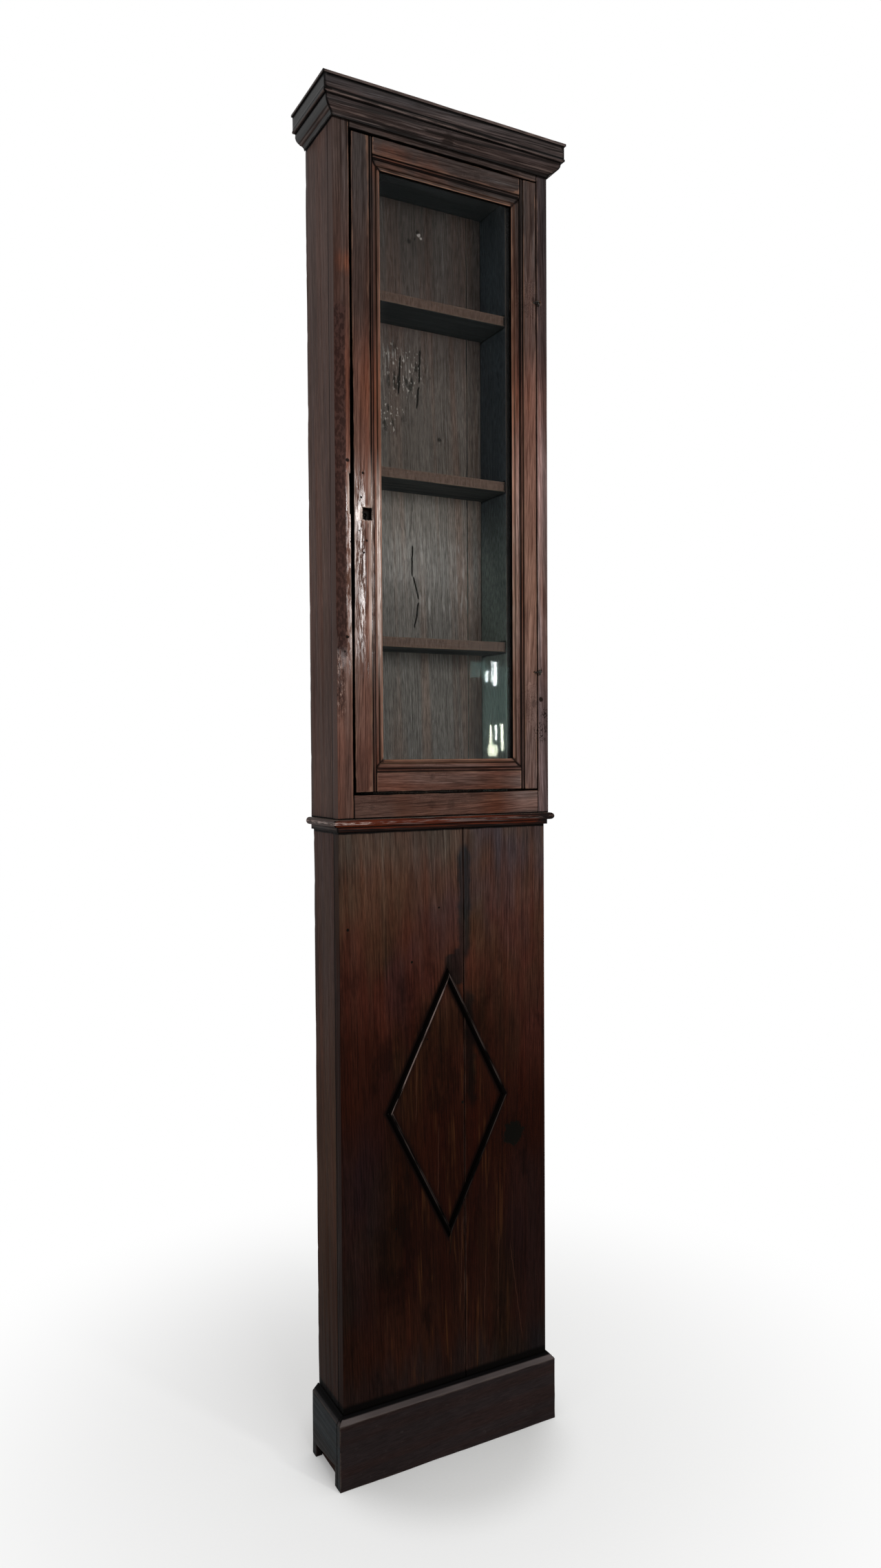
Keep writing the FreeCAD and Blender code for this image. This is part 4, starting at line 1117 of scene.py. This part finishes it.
# Bruises and chips that show in outline, each (place, radius, depth)
split_across_middle, split_face = -197 * mm, -45 * mm
split_chip_levels = (1.278, 1.296, 1.312, 1.330, 1.346, 1.358)
split_places = (Vector((split_across_middle, split_face, level)) for level in split_chip_levels)
chips = {
    "frame_stile_left": [(place, 9 * mm, 2.2 * mm) for place in split_places],
    "cornice_front": [(Vector((0, -56 * mm, 2.153)), 14 * mm, 3.0 * mm)],
}
chip_roundness = 0.7
arris_reach, seam_reach = 6 * mm, 5 * mm
broad_waves, narrow_waves, broad_share = (45, 45, 7), (110, 110, 18), 0.6
rub_waves, rub_gain, rub_start = (25, 25, 14), 1.6, 0.5
bite_waves, bite_gain, bite_start = (90, 90, 70), 3, 2.1
looks_front = -0.5
noise_shift = 5
planed_slope, planed_depth = 0.28, 4.5 * mm
planed_low_fade, planed_high_fade = 12 * mm, 60 * mm
pith_across_share, pith_into_mm, pith_along = 0.3, (15, 60), 9
grain_lean = 0.035


def wear_depth(points, normals, name, place, edge, look):
    """How far each point is worn in: uneven faces, rubbed arrises, planing and chips."""
    wavy = smooth_noise(place * broad_waves) * broad_share
    wavy += smooth_noise(place * narrow_waves) * (1 - broad_share)
    rubbed = np.clip(smooth_noise(place * rub_waves) * rub_gain - rub_start, 0, 1)
    bitten = np.clip(smooth_noise(place * bite_waves) * bite_gain - bite_start, 0, 1)
    depth = look.uneven * wavy + edge**2 * (look.rub * rubbed + look.bite * bitten)
    if name == "frame_stile_left":
        across, level = points[:, across_axis], points[:, up_axis]
        cut = np.clip((planed_start - across) * planed_slope, 0, planed_depth)
        cut *= np.clip((level - planed_low) / planed_low_fade, 0, 1)
        cut *= np.clip((planed_high - level) / planed_high_fade, 0, 1)
        depth += cut * (normals[:, depth_axis] < looks_front)
    for middle, radius, deepest in chips.get(name, ()):
        away = np.linalg.norm(points - np.array(middle), axis=1)
        depth += deepest * np.clip(1 - away / radius, 0, 1) ** chip_roundness
    return depth


def point_values(mesh, name):
    values = np.zeros(3 * len(mesh.vertices))
    mesh.vertices.foreach_get(name, values)
    return values.reshape(-1, 3)


def wear_mesh(mesh, name, rows, arrises, seams, look):
    """Pulls the surface in where it is worn, and adds the piece's own coordinates."""
    random = seed_of(name)
    points, normals = point_values(mesh, "co"), point_values(mesh, "normal")
    low, high = points.min(axis=0), points.max(axis=0)
    local = (points - (low + high) / 2) @ rows.T
    place = local + random.uniform(0, noise_shift, 3)
    edge = nearness(points, arrises, arris_reach)
    depth = wear_depth(points, normals, name, place, edge, look)
    mesh.vertices.foreach_set("co", (points - normals * depth[:, None]).ravel())
    pith_across = random.uniform(-pith_across_share, pith_across_share) * np.ptp(local[:, 0])
    pith = np.array((pith_across, random.uniform(*pith_into_mm) * mm, random.uniform(0, pith_along)))
    lean = random.uniform(-grain_lean, grain_lean, 2)
    wood = local + pith
    wood[:, :2] += local[:, 2:] * lean
    grained = mesh.attributes.new("wood", "FLOAT_VECTOR", "POINT")
    grained.data.foreach_set("vector", wood.astype(np.float32).ravel())
    tone = np.full(len(points), random.random())
    for kind, values in (("edge", edge), ("seam", nearness(points, seams, seam_reach)), ("tone", tone)):
        mesh.attributes.new(kind, "FLOAT", "POINT").data.foreach_set("value", values.astype(np.float32))
    mesh.update()


def bevelled_mesh(piece, width):
    """The piece's mesh with its arrises bevelled by their weights."""
    bevel = piece.modifiers.new("arris", "BEVEL")
    bevel.limit_method = "WEIGHT"
    bevel.width = width
    bevel.segments = bevel_segments
    bevel.use_clamp_overlap = False
    mesh = bpy.data.meshes.new_from_object(piece.evaluated_get(bpy.context.evaluated_depsgraph_get()))
    piece.modifiers.clear()
    return mesh


def cut_up(mesh, name, rows, cell):
    """Cuts the mesh into cells along and across the grain."""
    bm = bmesh.new()
    bm.from_mesh(mesh)
    for axis, share in enumerate((cross_cells, cross_cells, 1.0)):
        direction = Vector(rows[axis])
        along = [vertex.co.dot(direction) for vertex in bm.verts]
        own = [position for own_axis, position in own_cuts.get(name, ()) if own_axis == axis]
        positions = positions_between(min(along), max(along), cut_margin, cell * share)
        cut_planes(bm, direction, positions + own)
    bm.normal_update()
    bm.to_mesh(mesh)
    bm.free()


def worn_piece(name, look, material):
    """A new piece in the node's place: the node's shape, softened and worn."""
    bm = plain_mesh(frame["nodes"][name])
    arrises, seams = soften_arrises(bm, name, look.arris)
    start = bpy.data.meshes.new(name + "_start")
    bm.to_mesh(start)
    bm.free()
    piece = bpy.data.objects.new(name + "_wood", start)
    bpy.context.scene.collection.objects.link(piece)
    mesh = bevelled_mesh(piece, look.arris)
    mesh.name = name + "_wood"
    rows = wood_directions(name)
    cut_up(mesh, name, rows, look.cell)
    wear_mesh(mesh, name, rows, arrises, seams, look)
    mesh.shade_smooth()
    mesh.set_sharp_from_angle(angle=sharp_angle)
    mesh.materials.clear()
    mesh.materials.append(material)
    piece.data = mesh
    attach(piece, body_of[name])
    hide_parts(name)


def wear(**sizes_mm):
    """How worn a piece is, from values in millimetres."""
    return SimpleNamespace(**{name: size * mm for name, size in sizes_mm.items()})


board_wear = wear(arris=1.2, uneven=0.35, rub=0.9, bite=1.2, cell=8)
moulding_wear = wear(arris=0.6, uneven=0.20, rub=0.5, bite=0.6, cell=6)
hidden_wear = wear(arris=0.8, uneven=0.40, rub=0.4, bite=0.5, cell=20)
wear_of_slot = {"moulding_pine": moulding_wear, "rough_pine": hidden_wear}


def dress_wood():
    finishes = {
        "case_pine": case_material(),
        "door_pine": door_material("door_pine", lit_slopes=False),
        "moulding_pine": moulding_material(),
        "plinth_pine": plinth_material(),
        "inside_pine": inside_material(),
        "rough_pine": rough_material(),
    }
    own_finishes = {
        "lower_front_board_": front_material(),
        "diamond_bead_": bead_material(),
        "glass_moulding_": door_material("glass_moulding_pine", lit_slopes=True),
    }
    for name in wooden:
        slot = slot_of[name]
        own = (made for start, made in own_finishes.items() if name.startswith(start))
        finish = next(own, finishes[slot])
        look = wear_of_slot.get(slot, board_wear)
        if name.startswith(("glass_moulding_", "glazing_bead_")):
            look = moulding_wear
        worn_piece(name, look, finish)


forged = palette(dark=(0.02, 0.018, 0.017), light=(0.06, 0.055, 0.05), rust=(0.05, 0.022, 0.012))
tarnished = palette(
    dark=(0.003, 0.0024, 0.002), light=(0.008, 0.006, 0.005), rust=(0.006, 0.0024, 0.0018)
)


def dress_rest():
    finishes = {
        "old_glass": glass_material(),
        "wrought_iron": iron_material("wrought_iron", forged, metallic=0.7, rough=0.5),
        "lock_iron": iron_material("lock_iron", tarnished, metallic=0.15, rough=0.6),
    }
    for name, slot in slot_of.items():
        if slot in finishes:
            node = frame["nodes"][name]
            node.data.materials.clear()
            node.data.materials.append(finishes[slot])


# Floor, light and background

floor_radius, floor_sides = 9.0, 96
floor_noise, floor_dark, floor_pale = ((240, 240), 2), (0.86, 0.86, 0.85), (0.90, 0.90, 0.89)
shadow_span, white_span, near_white_share = (0.14, 0.26), (0.25, 1.1), 0.45
white = (1.0, 1.0, 1.0)
ambient_strength = 0.55


def make_floor():
    bm = bmesh.new()
    bmesh.ops.create_circle(bm, cap_ends=True, segments=floor_sides, radius=floor_radius)
    mesh = bpy.data.meshes.new("floor")
    bm.to_mesh(mesh)
    bm.free()
    floor = bpy.data.objects.new("floor", mesh)
    bpy.context.scene.collection.objects.link(floor)
    s = shader("floor")
    away = s.add("ShaderNodeVectorMath", {0: s.place()}, operation="LENGTH").outputs["Value"]
    seen = s.add("ShaderNodeLightPath").outputs["Is Camera Ray"]
    colour = s.mix(s.noise(s.place(), *floor_noise), floor_dark, floor_pale)
    near = s.principled(Base_Color=colour, Roughness=0.85, Specular_IOR_Level=0.1)
    far = s.add("ShaderNodeEmission", {"Color": white, "Strength": 1.0}).outputs[0]
    share = s.product(seen, s.step(away, shadow_span), s.step(away, white_span, near_white_share, 1.0))
    mesh.materials.append(s.finish(s.add("ShaderNodeMixShader", {0: share, 1: near, 2: far}).outputs[0]))


def make_world():
    world = bpy.data.worlds.new("studio")
    bpy.context.scene.world = world
    s = Shader(world)
    path = s.add("ShaderNodeLightPath").outputs
    shown = s.most(path["Is Camera Ray"], path["Is Glossy Ray"], path["Is Transmission Ray"])
    strength = s.fade(shown, ambient_strength, 1.0)
    background = s.add("ShaderNodeBackground", {"Color": white, "Strength": strength}).outputs[0]
    s.add("ShaderNodeOutputWorld", {"Surface": background})


straw, leaf_shade = (1.0, 0.95, 0.74), (0.60, 1.0, 0.96)


def make_lamp(name, place, target, width, height, power, colour=white):
    data = bpy.data.lights.new(name, "AREA")
    data.color = colour
    data.shape = "RECTANGLE"
    data.size = width
    data.size_y = height
    data.energy = power
    lamp = bpy.data.objects.new(name, data)
    turn = (target - place).to_track_quat("-Z", "Y").to_matrix().to_4x4()
    lamp.matrix_world = Matrix.Translation(place) @ turn
    lamp.visible_camera = False
    bpy.context.scene.collection.objects.link(lamp)


# The studio's lamps, each (name, place, target, width, height, power)
studio_lamps = (
    ("key", Vector((0.1, -3.0, 1.8)), Vector((0, 0, 1.3)), 1.5, 1.4, 42.0),
    ("window_high", Vector((0.66, -1.93, 1.80)), Vector((-0.16, -0.045, 1.5)), 0.20, 0.60, 15.0),
)
# Small panes of a window, mirrored low in the glass, each (x, z, width, height, radiance, colour)
window_depth = -2.6
glass_middle = Vector((0.08, -0.033, 1.25))
window_panes = (
    (1.568, 1.537, 0.066, 0.070, 6.0, leaf_shade), (1.612, 1.508, 0.009, 0.045, 220.0, white),
    (1.640, 1.530, 0.006, 0.090, 120.0, white), (1.657, 1.520, 0.011, 0.105, 240.0, white),
    (1.736, 1.556, 0.012, 0.026, 220.0, white), (1.632, 1.245, 0.010, 0.088, 150.0, straw),
    (1.659, 1.262, 0.008, 0.066, 220.0, white), (1.691, 1.240, 0.010, 0.118, 220.0, straw),
    (1.641, 1.180, 0.038, 0.048, 120.0, straw), (1.668, 1.365, 0.125, 0.380, 3.0, leaf_shade),
)


def make_lights():
    for lamp in studio_lamps:
        make_lamp(*lamp)
    for number, (across, level, width, height, radiance, colour) in enumerate(window_panes, start=1):
        place = Vector((across, window_depth, level))
        power = radiance * math.pi * width * height
        make_lamp(f"window_pane_{number}", place, glass_middle, width, height, power, colour)


make_camera()
dress_wood()
dress_rest()
make_floor()
make_world()
make_lights()
bpy.context.scene.view_settings.view_transform = "Standard"

bpy.context.view_layer.update()
